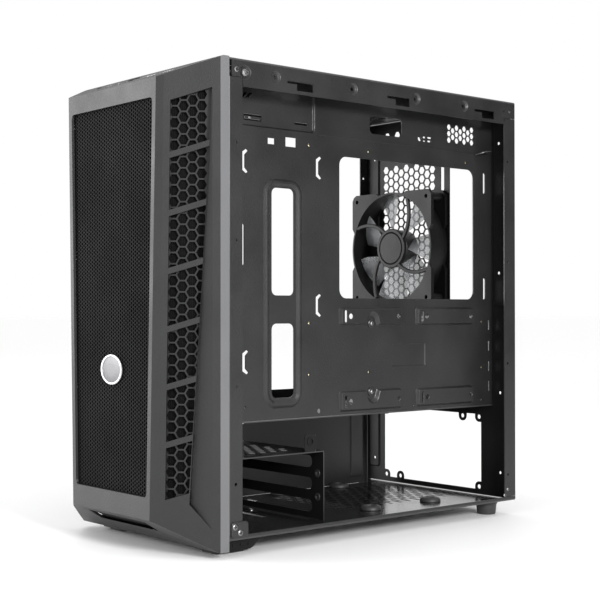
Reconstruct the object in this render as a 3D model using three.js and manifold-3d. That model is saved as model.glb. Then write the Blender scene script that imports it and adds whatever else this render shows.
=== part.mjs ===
// Desktop computer tower with both side covers off: a folded steel chassis behind a moulded
// front panel. Millimetres, +Z up. The front faces -Y, the cable side faces +X, and the
// tower stands on z = 0, centred on the Z axis.
import * as THREE from 'three';
import { mergeVertices } from 'three/addons/utils/BufferGeometryUtils.js';
import Module from 'manifold-3d';

const wasm = await Module();
wasm.setup();

// ---------------------------------------------------------------- driving dimensions

// Whole tower
const HEIGHT = 410;
const DEPTH = 404.5;
const WIDTH = 214; // over the front panel's rear rim
const RIM_OVERHANG = 2; // the rim past the chassis, each side
const PANEL_DEPTH = 47.2; // front panel's face to the chassis
const FOOT_HEIGHT = 14;
const SHEET = 1; // steel sheet
const GAP = 0.3; // between pieces that touch
const MOVING_GAP = 0.6; // round a piece that moves

// Chassis folds
const SIDE_RAIL = 23; // top panel's fold, down each side
const FLOOR_LIP = 4; // base pan's fold, up each side
const FRONT_FLANGE = 14.7;
const REAR_FLANGE = 15.8;
const REAR_RECESS = 4.5; // rear panel behind the flanges' rear ends
const CABLE_SPACE = 25; // motherboard tray to the cable side
const SHROUD_TOP = 108; // top of the power supply bay, and the tray's lower edge
const SHROUD_INSET = 21; // bay wall to the far side
const SHROUD_REAR_GAP = 22; // bay wall's end to the rear panel

// The sheet that the y and z of the tray openings and the vent are laid out on; they
// stretch with the real one
const LAYOUT = { front: -153.75, rear: 196.45, bottom: 108, top: 410 };

// Tray openings
// from the rear panel and the top, as the board is
const PROCESSOR_WINDOW = { front: 206.95, rear: 28.05, bottom: 196.5, top: 68, radius: 8 };
const CABLE_SLOT = { y0: -89.3, y1: -64.3, radius: 5 };
const CABLE_SLOT_UPPER = { z0: 215.5, z1: 308.8 };
const CABLE_SLOT_LOWER = { z0: 126.5, z1: 191 };
const TOP_CABLE_HOLE = { y0: 27.4, y1: 68.9, z0: 366, z1: 383, radius: 4 };

// Motherboard stand-offs, on the standard grid
const STANDOFF = { length: 6.5, radius: 3 };
const BOARD_REAR_GAP = 15.75; // rear column to the rear panel
const BOARD_MIDDLE_STEP = 154.94;
const BOARD_FRONT_STEP = 227.33;
const BOARD_TOP_REAR_STEP = 22.86;
const BOARD_TOP_GAP = 61; // top row to the top
const BOARD_MIDDLE_ROW_STEP = 157.48;
const BOARD_LOWER_ROW_STEP = 203.2;

// Rear panel openings
const SUPPLY_FROM_SHROUD = 78.3; // power supply's middle to the bay wall
const SUPPLY_OPENING = { width: 141, floorGap: 5.5, roofGap: 11, radius: 8 };
const IO_OPENING = { gap: 13, width: 44.45, drop: 143, height: 158.75 }; // gap: to the tray
const EXPANSION_SLOTS = 4;
const SLOT_PITCH = 20.32;
const SLOT_DROP = 161.3; // centre of the top slot, below the board's top row
const SLOT_OPENING = { gap: 13, length: 100, height: 13 }; // gap: to the tray
const SLOT_COVER = { height: 18.4, overlap: 5, ear: 10 };
const RETAINER = { width: 16, depth: 10, overhang: 6 };

// Drive cage
const CAGE = { height: 62, wallGap: 9, bay: 107, frontGap: 17 };
const CAGE_SLOT = { height: 11, margin: 15.5, pitch: 20, radius: 4 };

// Fans
const FAN = { size: 120, depth: 25, duct: 2, flange: 4, corner: 6, screwInset: 7.5, screwHole: 2.15 };
const FAN_HUB = { radius: 21, plate: 3.5, strut: 5, tubeRadius: 4, tubeEnd: 8.7, shaft: 1.7 };
const ROTOR = {
  radius: 20, wall: 2.2, foot: 1.2, end: 2.3, tipGap: 1.6, blades: 7, blade: 1.6,
  sweep: 0.17, sweepStep: 0.1, chord: 0.64, bladeLow: 2, bladeHigh: 2.5,
  turn: 0.2, // rest position, as a share of the blade spacing
};
const SHAFT_CLEARANCE = 0.3;
const REAR_FAN = { fromSide: 64.5, fromTop: 141 };
const FRONT_FAN_LOW = 96; // centre of the lower front fan
const FRONT_FAN_GAP = 14;
const FRONT_FAN_RING = 2; // front frame inside the fan's bore

// Top vent and its filter
const TOP_VENT = { farGap: 27, trayGap: 8, y0: -96, y1: 174, depth: 3.4, radius: 6 };
const FILTER_SHEET = 2.2;

// Bottom filter under the power supply
const BOTTOM_FILTER = { depth: 158, frame: 2.6, tab: 16, footGap: 1.7 };
const RUNNER = { wall: 2, lip: 5, thickness: 1.4 };

// Feet and pads
const REAR_FOOT = { fromSide: 21, fromRear: 19.5, top: 11, bottom: 9, collar: 2 };
const FRONT_FOOT = { fromSide: 12, width: 41, depth: 49, taper: 4, pad: 2, padRadius: 4 };
const SUPPLY_PAD = { radius: 10.2, crown: 0.75, height: 4, spread: 67, y0: 45.4, y1: 126 };

// Front panel
const PANEL_WALL = 2.5;
const RIM_DEPTH = 8.9; // flat rear rim
const FACE_TOP = 70; // half widths of the flat face
const FACE_BOTTOM = 61;
const BEVEL = 6; // narrow bevel beside the face
const BEVEL_DEPTH = 3.6;
const SLOPE_DROP = 17; // top slope, down towards the front
const SLOPE_BACK = 6.2; // flat top behind the slope
const CHIN = 30.5; // lower edge of the face
const SKIRT = 6; // lower edge of the rim
const FACE_OPENING = { topGap: 33, bottom: 49, border: 5, radius: 4 };
const SIDE_STATIONS = 9; // the side twists slightly, so it is lofted through this many
const MESH_SHEET = 1;
const MESH_OVERLAP = 3;
const MESH_SEAT = 1.4; // side mesh behind the wall, clear of its twist
const WINDOWS = 7; // side windows, between slanted slats
const WINDOW = {
  first: 48, topGap: 31.6, slat: 5, rise: 12, start: 0.12, endLow: 0.5, endHigh: 0.86,
};
const BADGE = { width: 34, height: 26, thickness: 1.6, z: 152 };

// Controls on the top slope; x is along the width, and all sit on the slope's middle line
const POWER_BUTTON = { x: 4, radius: 6.5, cap: 3, stem: 2.5, stemLength: 4, proud: 1 };
const RESET_BUTTON = { x: -52, radius: 3, cap: 3, stem: 1.5, stemLength: 4, proud: 0.6 };
const BUTTON_EDGE = { width: 0.6, height: 0.4 };
const JACK_X = [-34, -18];
const JACK = { radius: 4.2, hole: 1.8, length: 11, floor: 2 };
const USB_X = [30, 56];
const USB = { width: 14.4, height: 7, shell: 0.6, length: 12, tongue: 10 };
const LED = { x: -65, radius: 1.5, length: 5 };
const BOARD = { halfLength: 72, width: 22, thickness: 1.6, depth: 13 };

// ---------------------------------------------------------------- derived places

const SLOPE_DEPTH = PANEL_DEPTH - SLOPE_BACK;
const FRONT = -DEPTH / 2;
const REAR = DEPTH / 2;
const CHASSIS_FRONT = FRONT + PANEL_DEPTH;
const REAR_PLANE = REAR - REAR_RECESS;
const SIDE = WIDTH / 2 - RIM_OVERHANG;
const FLOOR_TOP = FOOT_HEIGHT + SHEET;
const TOP_UNDER = HEIGHT - SHEET;
const RAIL_BOTTOM = HEIGHT - SIDE_RAIL;
const TRAY_X = SIDE - CABLE_SPACE;
const TRAY_INNER = TRAY_X - SHEET;
const SHROUD_X = -SIDE + SHROUD_INSET;
const POWER_SUPPLY_X = SHROUD_X + SUPPLY_FROM_SHROUD;
const FLOOR_LIP_TOP = FOOT_HEIGHT + FLOOR_LIP;
const INNER_FRONT = CHASSIS_FRONT + SHEET + GAP;
const INNER_REAR = REAR_PLANE - SHEET - GAP;
const BOARD_TOP_ROW = HEIGHT - BOARD_TOP_GAP;
const SLOT_TOP = BOARD_TOP_ROW - SLOT_DROP;
const REAR_FOOT_X = SIDE - REAR_FOOT.fromSide;
const FILTER_HALF = REAR_FOOT_X - REAR_FOOT.top + POWER_SUPPLY_X - BOTTOM_FILTER.footGap
  - RUNNER.wall - MOVING_GAP;
const FAN_BORE = FAN.size / 2 - FAN.duct;
const ROTOR_FOOT = FAN_HUB.plate + ROTOR.foot;
const ROTOR_TOP = FAN.depth - ROTOR.end;
const WINDOW_PITCH = (HEIGHT - WINDOW.topGap - WINDOW.first) / WINDOWS;

const layoutY = (y) => INNER_FRONT
  + (y - LAYOUT.front) * (INNER_REAR - INNER_FRONT) / (LAYOUT.rear - LAYOUT.front);
const layoutZ = (z) => SHROUD_TOP
  + (z - LAYOUT.bottom) * (HEIGHT - SHROUD_TOP) / (LAYOUT.top - LAYOUT.bottom);

// ---------------------------------------------------------------- finishes

const finish = (color, roughness, metalness) =>
  new THREE.MeshStandardMaterial({ color, roughness, metalness });
const STEEL = finish(0x4a4b4d, 0.55, 0.6);
const CAGE_STEEL = finish(0x17181a, 0.5, 0.5);
const PANEL_PLASTIC = finish(0x55565a, 0.55, 0);
const DARK_PLASTIC = finish(0x1c1d1f, 0.5, 0);
const MESH_STEEL = finish(0x303133, 0.6, 0.6);
const BLADE_PLASTIC = finish(0xb9bdc1, 0.35, 0);
const RUBBER = finish(0x222222, 0.85, 0);
const BRASS = finish(0xb5923f, 0.35, 1);
const PORT_STEEL = finish(0xb8babd, 0.3, 1);
const BADGE_METAL = finish(0xc4c6c8, 0.3, 0.9);
const CIRCUIT_GREEN = finish(0x1f4a2e, 0.5, 0);
const LAMP = finish(0xe8f0f4, 0.3, 0);

// ---------------------------------------------------------------- solid tools

function toSolid(geometry) {
  const bare = geometry.clone();
  bare.deleteAttribute('normal');
  bare.deleteAttribute('uv');
  const merged = mergeVertices(bare, 1e-4);
  return new wasm.Manifold(new wasm.Mesh({
    numProp: 3,
    vertProperties: new Float32Array(merged.attributes.position.array),
    triVerts: new Uint32Array(merged.index.array),
  }));
}

function toGeometry(solid) {
  const mesh = solid.getMesh();
  const geometry = new THREE.BufferGeometry();
  geometry.setAttribute('position', new THREE.BufferAttribute(mesh.vertProperties, 3));
  geometry.setIndex(new THREE.BufferAttribute(mesh.triVerts, 1));
  geometry.computeVertexNormals();
  return geometry;
}

const joined = (...solids) => solids.reduce((whole, solid) => whole.add(solid));
const cut = (solid, ...tools) => tools.reduce((left, tool) => left.subtract(tool), solid);

function piece(name, solid, material) {
  const mesh = new THREE.Mesh(toGeometry(solid), material);
  mesh.name = name;
  return mesh;
}

function box(x0, x1, y0, y1, z0, z1) {
  const geometry = new THREE.BoxGeometry(x1 - x0, y1 - y0, z1 - z0);
  geometry.translate((x0 + x1) / 2, (y0 + y1) / 2, (z0 + z1) / 2);
  return toSolid(geometry);
}

function rectangle(shape, x0, y0, x1, y1) {
  shape.moveTo(x0, y0);
  shape.lineTo(x1, y0);
  shape.lineTo(x1, y1);
  shape.lineTo(x0, y1);
  shape.lineTo(x0, y0);
  return shape;
}

function roundedRect(shape, x0, y0, x1, y1, radius) {
  const r = Math.min(radius, (x1 - x0) / 2.01, (y1 - y0) / 2.01);
  shape.moveTo(x0 + r, y0);
  shape.lineTo(x1 - r, y0);
  shape.absarc(x1 - r, y0 + r, r, -Math.PI / 2, 0);
  shape.lineTo(x1, y1 - r);
  shape.absarc(x1 - r, y1 - r, r, 0, Math.PI / 2);
  shape.lineTo(x0 + r, y1);
  shape.absarc(x0 + r, y1 - r, r, Math.PI / 2, Math.PI);
  shape.lineTo(x0, y0 + r);
  shape.absarc(x0 + r, y0 + r, r, Math.PI, 1.5 * Math.PI);
  return shape;
}

// The drawing planes: a shape's two axes and the axis it is extruded along.
const AXES = {
  XY: new THREE.Matrix4(),
  YZ: new THREE.Matrix4().makeBasis(
    new THREE.Vector3(0, 1, 0), new THREE.Vector3(0, 0, 1), new THREE.Vector3(1, 0, 0)),
  XZ: new THREE.Matrix4().makeBasis(
    new THREE.Vector3(1, 0, 0), new THREE.Vector3(0, 0, 1), new THREE.Vector3(0, -1, 0)),
};

// Extrudes a shape drawn in a plane from low to high along the plane's normal axis.
function slab(plane, shape, low, high, curveSegments = 3) {
  const options = { depth: high - low, bevelEnabled: false, curveSegments };
  const geometry = new THREE.ExtrudeGeometry(shape, options);
  geometry.translate(0, 0, plane === 'XZ' ? -high : low);
  geometry.applyMatrix4(AXES[plane]);
  return toSolid(geometry);
}

const rectShape = (x0, y0, x1, y1) => rectangle(new THREE.Shape(), x0, y0, x1, y1);
const roundShape = (...corners) => roundedRect(new THREE.Shape(), ...corners);

function polygon(points) {
  return new THREE.Shape(points.map(([x, y]) => new THREE.Vector2(x, y)));
}

// A closed body through a row of 3-D outlines with the same number of points, each running
// anticlockwise when seen from the last one's side.
function loft(...outlines) {
  const count = outlines[0].length;
  const last = (outlines.length - 1) * count;
  const index = [];
  for (const [a, b, c] of THREE.ShapeUtils.triangulateShape(flatten(outlines[0]), [])) {
    index.push(a, c, b, last + a, last + b, last + c);
  }
  for (let start = 0; start < last; start += count) {
    for (let i = 0; i < count; i++) {
      const here = start + i;
      const next = start + (i + 1) % count;
      index.push(here, next, count + next, here, count + next, count + here);
    }
  }
  const geometry = new THREE.BufferGeometry();
  geometry.setFromPoints(outlines.flat().map(([x, y, z]) => new THREE.Vector3(x, y, z)));
  geometry.setIndex(index);
  return toSolid(geometry);
}

// Evenly spaced values from first to last.
const spaced = (first, last, count) =>
  Array.from({ length: count }, (_, i) => first + (last - first) * i / (count - 1));

// The outline's own 2-D coordinates, in the plane of its first corner.
function flatten(outline) {
  const points = outline.map((p) => new THREE.Vector3(...p));
  const normal = new THREE.Vector3();
  points.forEach((p, i) => normal.add(p.clone().cross(points[(i + 1) % points.length])));
  normal.normalize();
  const along = points[1].clone().sub(points[0]).normalize();
  const across = normal.clone().cross(along);
  return points.map((p) => new THREE.Vector2(p.dot(along), p.dot(across)));
}

// A turned solid about the Z axis; the profile is a list of [radius, z].
function turned(profile, segments) {
  const geometry = new THREE.LatheGeometry(
    profile.map(([r, z]) => new THREE.Vector2(r, z)), segments);
  geometry.rotateX(Math.PI / 2);
  return toSolid(geometry);
}

const disc = (radius, z0, z1, segments = 24) =>
  turned([[0, z0], [radius, z0], [radius, z1], [0, z1]], segments);

// Turns a solid made about Z so that its axis runs along +Y.
const alongY = (solid) => solid.rotate([-90, 0, 0]);

// ---------------------------------------------------------------- chassis

function basePan() {
  const floor = box(-SIDE, SIDE, CHASSIS_FRONT, REAR, FOOT_HEIGHT, FLOOR_TOP);
  const lips = [-SIDE, SIDE - SHEET].map((x) =>
    box(x, x + SHEET, CHASSIS_FRONT, REAR, FOOT_HEIGHT, FLOOR_LIP_TOP));
  return piece('base_pan', joined(floor, ...lips), STEEL);
}

function frontFrame() {
  const panel = box(-SIDE, SIDE, CHASSIS_FRONT, CHASSIS_FRONT + SHEET,
    FLOOR_LIP_TOP + GAP, RAIL_BOTTOM - GAP);
  const middle = box(-SIDE + SHEET + GAP, SIDE - SHEET - GAP, CHASSIS_FRONT,
    CHASSIS_FRONT + SHEET, FLOOR_TOP + GAP, TOP_UNDER - GAP);
  const flanges = [-SIDE, SIDE - SHEET].map((x) =>
    box(x, x + SHEET, CHASSIS_FRONT, CHASSIS_FRONT + FRONT_FLANGE,
      FLOOR_LIP_TOP + GAP, RAIL_BOTTOM - GAP));
  const openings = frontFanHeights().map((z) =>
    alongY(disc(FAN_BORE - FRONT_FAN_RING, -SHEET, 2 * SHEET, 28)).translate([0, CHASSIS_FRONT, z]));
  return piece('front_frame', cut(joined(panel, middle, ...flanges), ...openings), STEEL);
}

function rearPanel() {
  const outline = rectShape(-SIDE + SHEET + GAP, FLOOR_TOP + GAP,
    SIDE - SHEET - GAP, TOP_UNDER - GAP);
  const supply = SUPPLY_OPENING;
  outline.holes.push(roundedRect(new THREE.Path(), POWER_SUPPLY_X - supply.width / 2,
    FLOOR_TOP + supply.floorGap, POWER_SUPPLY_X + supply.width / 2,
    SHROUD_TOP - supply.roofGap, supply.radius));
  const ioRight = TRAY_INNER - IO_OPENING.gap;
  const ioBottom = BOARD_TOP_ROW - IO_OPENING.drop;
  outline.holes.push(rectangle(new THREE.Path(), ioRight - IO_OPENING.width,
    ioBottom, ioRight, ioBottom + IO_OPENING.height));
  const slotRight = TRAY_INNER - SLOT_OPENING.gap;
  for (const z of slotHeights()) {
    outline.holes.push(rectangle(new THREE.Path(), slotRight - SLOT_OPENING.length,
      z - SLOT_OPENING.height / 2, slotRight, z + SLOT_OPENING.height / 2));
  }
  const panel = slab('XZ', outline, REAR_PLANE - SHEET, REAR_PLANE, 2);
  const sides = [-1, 1].map((side) => {
    const outer = side * SIDE;
    const inner = side * (SIDE - SHEET);
    const flange = box(Math.min(outer, inner), Math.max(outer, inner),
      REAR - REAR_FLANGE, REAR, FLOOR_LIP_TOP + GAP, RAIL_BOTTOM - GAP);
    const link = side * (SIDE - 3 * SHEET);
    const web = box(Math.min(outer, link), Math.max(outer, link),
      REAR_PLANE - SHEET, REAR_PLANE, FLOOR_LIP_TOP + GAP, RAIL_BOTTOM - GAP);
    return flange.add(web);
  });
  return piece('rear_panel', joined(panel, ...sides), STEEL);
}

const topVent = () => ({
  x0: -SIDE + TOP_VENT.farGap, x1: TRAY_X - TOP_VENT.trayGap,
  y0: layoutY(TOP_VENT.y0), y1: layoutY(TOP_VENT.y1),
});

function topPanel() {
  const vent = topVent();
  const floor = HEIGHT - TOP_VENT.depth;
  const sheet = box(-SIDE, SIDE, CHASSIS_FRONT, REAR, TOP_UNDER, HEIGHT);
  const well = slab('XY', roundShape(vent.x0 - SHEET, vent.y0 - SHEET,
    vent.x1 + SHEET, vent.y1 + SHEET, TOP_VENT.radius + SHEET),
    floor - SHEET, TOP_UNDER + SHEET / 2);
  const pocket = slab('XY', roundShape(vent.x0, vent.y0, vent.x1, vent.y1, TOP_VENT.radius),
    floor, HEIGHT + SHEET);
  const rails = [-SIDE, SIDE - SHEET].map((x) =>
    box(x, x + SHEET, CHASSIS_FRONT, REAR, RAIL_BOTTOM, HEIGHT));
  return piece('top_panel', cut(joined(sheet, well, ...rails), pocket), STEEL);
}

function motherboardTray() {
  const outline = rectShape(INNER_FRONT, SHROUD_TOP, INNER_REAR, TOP_UNDER - GAP);
  const window = PROCESSOR_WINDOW;
  outline.holes.push(roundedRect(new THREE.Path(), INNER_REAR - window.front,
    HEIGHT - window.bottom, INNER_REAR - window.rear, HEIGHT - window.top, window.radius));
  const openings = [{ ...CABLE_SLOT, ...CABLE_SLOT_UPPER },
    { ...CABLE_SLOT, ...CABLE_SLOT_LOWER }, TOP_CABLE_HOLE];
  for (const { y0, y1, z0, z1, radius } of openings) {
    outline.holes.push(roundedRect(new THREE.Path(),
      layoutY(y0), layoutZ(z0), layoutY(y1), layoutZ(z1), radius));
  }
  return piece('motherboard_tray', slab('YZ', outline, TRAY_INNER, TRAY_X), STEEL);
}

function powerSupplyShroud() {
  const roof = box(SHROUD_X - SHEET, TRAY_X, INNER_FRONT, INNER_REAR,
    SHROUD_TOP - SHEET - GAP, SHROUD_TOP - GAP);
  const wall = box(SHROUD_X - SHEET, SHROUD_X, INNER_FRONT, INNER_REAR - SHROUD_REAR_GAP,
    FLOOR_TOP + GAP, SHROUD_TOP - GAP);
  return piece('power_supply_shroud', joined(roof, wall), STEEL);
}

function driveCage() {
  const x0 = SHROUD_X + CAGE.wallGap;
  const y0 = CHASSIS_FRONT + CAGE.frontGap;
  const y1 = y0 + CAGE.bay + 2 * SHEET;
  const z0 = FLOOR_TOP + GAP;
  const z1 = z0 + CAGE.height;
  const cage = cut(box(x0, TRAY_X, y0, y1, z0, z1),
    box(x0 - SHEET, TRAY_X + SHEET, y0 + SHEET, y1 - SHEET, z0 - SHEET, z1 - SHEET));
  const slots = [-1, 0, 1].map((step) => {
    const z = z0 + CAGE.height / 2 + step * CAGE_SLOT.pitch;
    const shape = roundShape(x0 + CAGE_SLOT.margin, z - CAGE_SLOT.height / 2,
      TRAY_X - CAGE_SLOT.margin, z + CAGE_SLOT.height / 2, CAGE_SLOT.radius);
    return slab('XZ', shape, y0 - SHEET, y1 + SHEET, 2);
  });
  return piece('drive_cage', cut(cage, ...slots), CAGE_STEEL);
}

function standoffs() {
  const rear = INNER_REAR - BOARD_REAR_GAP;
  const middle = rear - BOARD_MIDDLE_STEP;
  const front = rear - BOARD_FRONT_STEP;
  const rows = [
    [BOARD_TOP_ROW, [rear - BOARD_TOP_REAR_STEP, middle, front]],
    [BOARD_TOP_ROW - BOARD_MIDDLE_ROW_STEP, [rear, middle, front]],
    [BOARD_TOP_ROW - BOARD_LOWER_ROW_STEP, [rear, middle, front]],
  ];
  const places = rows.flatMap(([z, columns]) => columns.map((y) => [y, z]));
  return places.map(([y, z], i) => {
    const mesh = piece(`standoff_${i + 1}`, disc(STANDOFF.radius, 0, STANDOFF.length, 6), BRASS);
    mesh.rotation.y = -Math.PI / 2;
    mesh.position.set(TRAY_INNER - GAP, y, z);
    return mesh;
  });
}

// ---------------------------------------------------------------- expansion slots

function slotHeights() {
  return Array.from({ length: EXPANSION_SLOTS }, (_, i) => SLOT_TOP - i * SLOT_PITCH);
}

function slotCovers() {
  const right = TRAY_INNER - SLOT_OPENING.gap + SLOT_COVER.overlap;
  const left = right - SLOT_OPENING.length - 2 * SLOT_COVER.overlap;
  return slotHeights().map((z, i) => {
    const half = SLOT_COVER.height / 2;
    const plate = box(left, right, -SHEET, 0, -half, half);
    const ear = box(left - SHEET, left, -SLOT_COVER.ear, 0, -half, half);
    const cover = piece(`slot_cover_${i + 1}`, plate.add(ear), STEEL);
    cover.position.set(0, INNER_REAR, z);
    return cover;
  });
}

function slotRetainer() {
  const x1 = TRAY_INNER - SLOT_OPENING.gap - SLOT_OPENING.length
    - SLOT_COVER.overlap - SHEET - GAP;
  const z0 = SLOT_TOP - (EXPANSION_SLOTS - 1) * SLOT_PITCH - SLOT_PITCH / 2 - RETAINER.overhang;
  const z1 = SLOT_TOP + SLOT_PITCH / 2 + RETAINER.overhang;
  const foot = box(x1 - RETAINER.width, x1, INNER_REAR - SHEET, INNER_REAR, z0, z1);
  const lip = box(x1 - SHEET, x1, INNER_REAR - RETAINER.depth, INNER_REAR, z0, z1);
  return piece('slot_retainer', foot.add(lip), STEEL);
}

// ---------------------------------------------------------------- filters, feet and pads

function topFilter() {
  const vent = topVent();
  const low = HEIGHT - TOP_VENT.depth + GAP;
  const outline = roundShape(vent.x0 + MOVING_GAP, vent.y0 + MOVING_GAP,
    vent.x1 - MOVING_GAP, vent.y1 - MOVING_GAP, TOP_VENT.radius);
  return piece('top_filter', slab('XY', outline, low, low + FILTER_SHEET), DARK_PLASTIC);
}

function bottomFilter() {
  const top = FOOT_HEIGHT - MOVING_GAP;
  const y1 = REAR - GAP;
  const plate = box(POWER_SUPPLY_X - FILTER_HALF, POWER_SUPPLY_X + FILTER_HALF,
    y1 - BOTTOM_FILTER.depth, y1, top - BOTTOM_FILTER.frame, top);
  const tab = box(POWER_SUPPLY_X - BOTTOM_FILTER.tab, POWER_SUPPLY_X + BOTTOM_FILTER.tab,
    y1 - 2 * BOTTOM_FILTER.frame, y1, top - 2 * BOTTOM_FILTER.frame, top);
  return piece('bottom_filter', plate.add(tab), DARK_PLASTIC);
}

function filterRunner(side) {
  const inner = POWER_SUPPLY_X + side * (FILTER_HALF - RUNNER.lip);
  const edge = POWER_SUPPLY_X + side * (FILTER_HALF + MOVING_GAP);
  const outer = edge + side * RUNNER.wall;
  const y0 = REAR - GAP - BOTTOM_FILTER.depth;
  const y1 = REAR - REAR_FLANGE;
  const lipTop = FOOT_HEIGHT - 2 * MOVING_GAP - BOTTOM_FILTER.frame;
  const lip = box(Math.min(inner, outer), Math.max(inner, outer), y0, y1,
    lipTop - RUNNER.thickness, lipTop);
  const wall = box(Math.min(edge, outer), Math.max(edge, outer), y0, y1,
    lipTop - RUNNER.thickness, FOOT_HEIGHT - GAP);
  return piece(side < 0 ? 'filter_runner_left' : 'filter_runner_right', lip.add(wall), DARK_PLASTIC);
}

function rearFoot(side) {
  const top = FOOT_HEIGHT - GAP;
  const profile = [[0, 0], [REAR_FOOT.bottom, 0], [REAR_FOOT.top, top - REAR_FOOT.collar],
    [REAR_FOOT.top, top], [0, top]];
  const foot = piece(side < 0 ? 'rear_foot_left' : 'rear_foot_right', turned(profile, 24), RUBBER);
  foot.position.set(side * REAR_FOOT_X, REAR - REAR_FOOT.fromRear, 0);
  return foot;
}

function frontFoot(side) {
  const y0 = CHASSIS_FRONT + GAP;
  const y1 = y0 + FRONT_FOOT.depth;
  const outer = side * (SIDE - FRONT_FOOT.fromSide);
  const inner = outer - side * FRONT_FOOT.width;
  const x0 = Math.min(inner, outer);
  const x1 = Math.max(inner, outer);
  const outline = (inset, z) => [
    [x0 + inset, y0, z], [x1 - inset, y0, z],
    [x1 - inset, y1 - 3 * inset, z], [x0 + inset, y1 - 3 * inset, z]];
  const block = loft(outline(FRONT_FOOT.taper, FRONT_FOOT.pad + GAP), outline(0, FOOT_HEIGHT - GAP));
  const name = side < 0 ? 'left' : 'right';
  const pad = slab('XY', roundShape(x0 + 2 * FRONT_FOOT.taper, y0 + FRONT_FOOT.taper,
    x1 - 2 * FRONT_FOOT.taper, y1 - 4 * FRONT_FOOT.taper, FRONT_FOOT.padRadius),
    0, FRONT_FOOT.pad);
  return [
    piece(`front_foot_${name}`, block, DARK_PLASTIC),
    piece(`front_foot_pad_${name}`, pad, RUBBER),
  ];
}

function supplyPads() {
  const places = [-1, 1].flatMap((side) =>
    [SUPPLY_PAD.y0, SUPPLY_PAD.y1].map((y) =>
      [POWER_SUPPLY_X + side * SUPPLY_PAD.spread, layoutY(y)]));
  return places.map(([x, y], i) => {
    const r = SUPPLY_PAD.radius;
    const h = SUPPLY_PAD.height;
    const profile = [[0, 0], [r, 0], [r, h / 2], [r * SUPPLY_PAD.crown, h], [0, h]];
    const pad = piece(`supply_pad_${i + 1}`, turned(profile, 20), RUBBER);
    pad.position.set(x, y, FLOOR_TOP + GAP);
    return pad;
  });
}

// ---------------------------------------------------------------- fans

// A fan's axis runs along +Y from its strut side, y = 0, to its open side.
function fanFrame(name) {
  const half = FAN.size / 2;
  const outline = roundShape(-half, -half, half, half, FAN.corner);
  const screw = half - FAN.screwInset;
  for (const x of [-screw, screw]) {
    for (const z of [-screw, screw]) {
      outline.holes.push(new THREE.Path().absarc(x, z, FAN.screwHole, 0, 2 * Math.PI));
    }
  }
  const flanges = [0, FAN.depth - FAN.flange].map((y) => slab('XZ', outline, y, y + FAN.flange, 4));
  const duct = alongY(disc(half - GAP, 1, FAN.depth - 1, 32));
  const bore = alongY(disc(FAN_BORE, -1, FAN.depth + 1, 32));
  const hub = alongY(disc(FAN_HUB.radius, 0, FAN_HUB.plate, 24));
  const tube = alongY(disc(FAN_HUB.tubeRadius, 0, ROTOR_TOP - FAN_HUB.tubeEnd, 12));
  const struts = [45, 135, 225, 315].map((angle) =>
    box(FAN_HUB.radius - 2, FAN_BORE + 1, 0, FAN_HUB.plate, -FAN_HUB.strut / 2, FAN_HUB.strut / 2)
      .rotate([0, angle, 0]));
  const bearing = alongY(disc(FAN_HUB.shaft + SHAFT_CLEARANCE, -1, ROTOR_TOP, 12));
  const frame = joined(cut(joined(...flanges, duct), bore), hub, tube, ...struts);
  return piece(`${name}_frame`, cut(frame, bearing), DARK_PLASTIC);
}

function fanRotor(name) {
  const foot = ROTOR_FOOT;
  const top = ROTOR_TOP;
  const inner = ROTOR.radius - ROTOR.wall;
  const cup = alongY(turned([[0, 1], [FAN_HUB.shaft, 1], [FAN_HUB.shaft, top - ROTOR.wall],
    [inner, top - ROTOR.wall], [inner, foot], [ROTOR.radius, foot], [ROTOR.radius, top],
    [0, top]], 3 * ROTOR.blades));
  const radii = spaced(ROTOR.radius - ROTOR.wall / 2, FAN_BORE - ROTOR.tipGap, 3);
  const section = (radius, i) => {
    const lead = ROTOR.sweep + ROTOR.sweepStep * i;
    const trail = lead - ROTOR.chord;
    const low = foot + ROTOR.bladeLow + i;
    const high = top - ROTOR.bladeHigh;
    const at = (angle, y) => [radius * Math.cos(angle), y, radius * Math.sin(angle)];
    return [at(trail, high - ROTOR.blade), at(trail, high), at(lead, low + ROTOR.blade), at(lead, low)];
  };
  const blade = loft(...radii.map(section));
  const blades = Array.from({ length: ROTOR.blades }, (_, k) =>
    blade.rotate([0, (360 / ROTOR.blades) * (k + ROTOR.turn), 0]));
  return piece(`${name}_rotor`, joined(cup, ...blades), BLADE_PLASTIC);
}

function fan(name, x, y, z, struts) {
  const group = new THREE.Group();
  group.add(fanFrame(name), fanRotor(name));
  group.position.set(x, y, z);
  group.rotation.z = struts === 'front' ? 0 : Math.PI;
  return group;
}

function frontFanHeights() {
  return [FRONT_FAN_LOW, FRONT_FAN_LOW + FAN.size + FRONT_FAN_GAP];
}

// ---------------------------------------------------------------- front panel

const SLOPE_ANGLE = Math.atan2(SLOPE_DROP, SLOPE_DEPTH);
const RIM_FRONT = CHASSIS_FRONT - GAP - RIM_DEPTH;

const faceHalf = (z) =>
  FACE_BOTTOM + (FACE_TOP - FACE_BOTTOM) * (z - CHIN) / (HEIGHT - SLOPE_DROP - CHIN);

// Outline of the panel at a height, shrunk by an inset, with its back at y = back.
function panelOutline(z, inset, back) {
  const face = faceHalf(z) - 0.4 * inset;
  const bevel = faceHalf(z) + BEVEL - 0.8 * inset;
  const half = WIDTH / 2 - inset;
  const right = [
    [face, FRONT + inset], [bevel, FRONT + BEVEL_DEPTH + inset],
    [half, RIM_FRONT + 0.4 * inset], [half, back]];
  const left = right.map(([x, y]) => [-x, y]).reverse();
  return [...right, ...left].map(([x, y]) => [x, y, z]);
}

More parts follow.
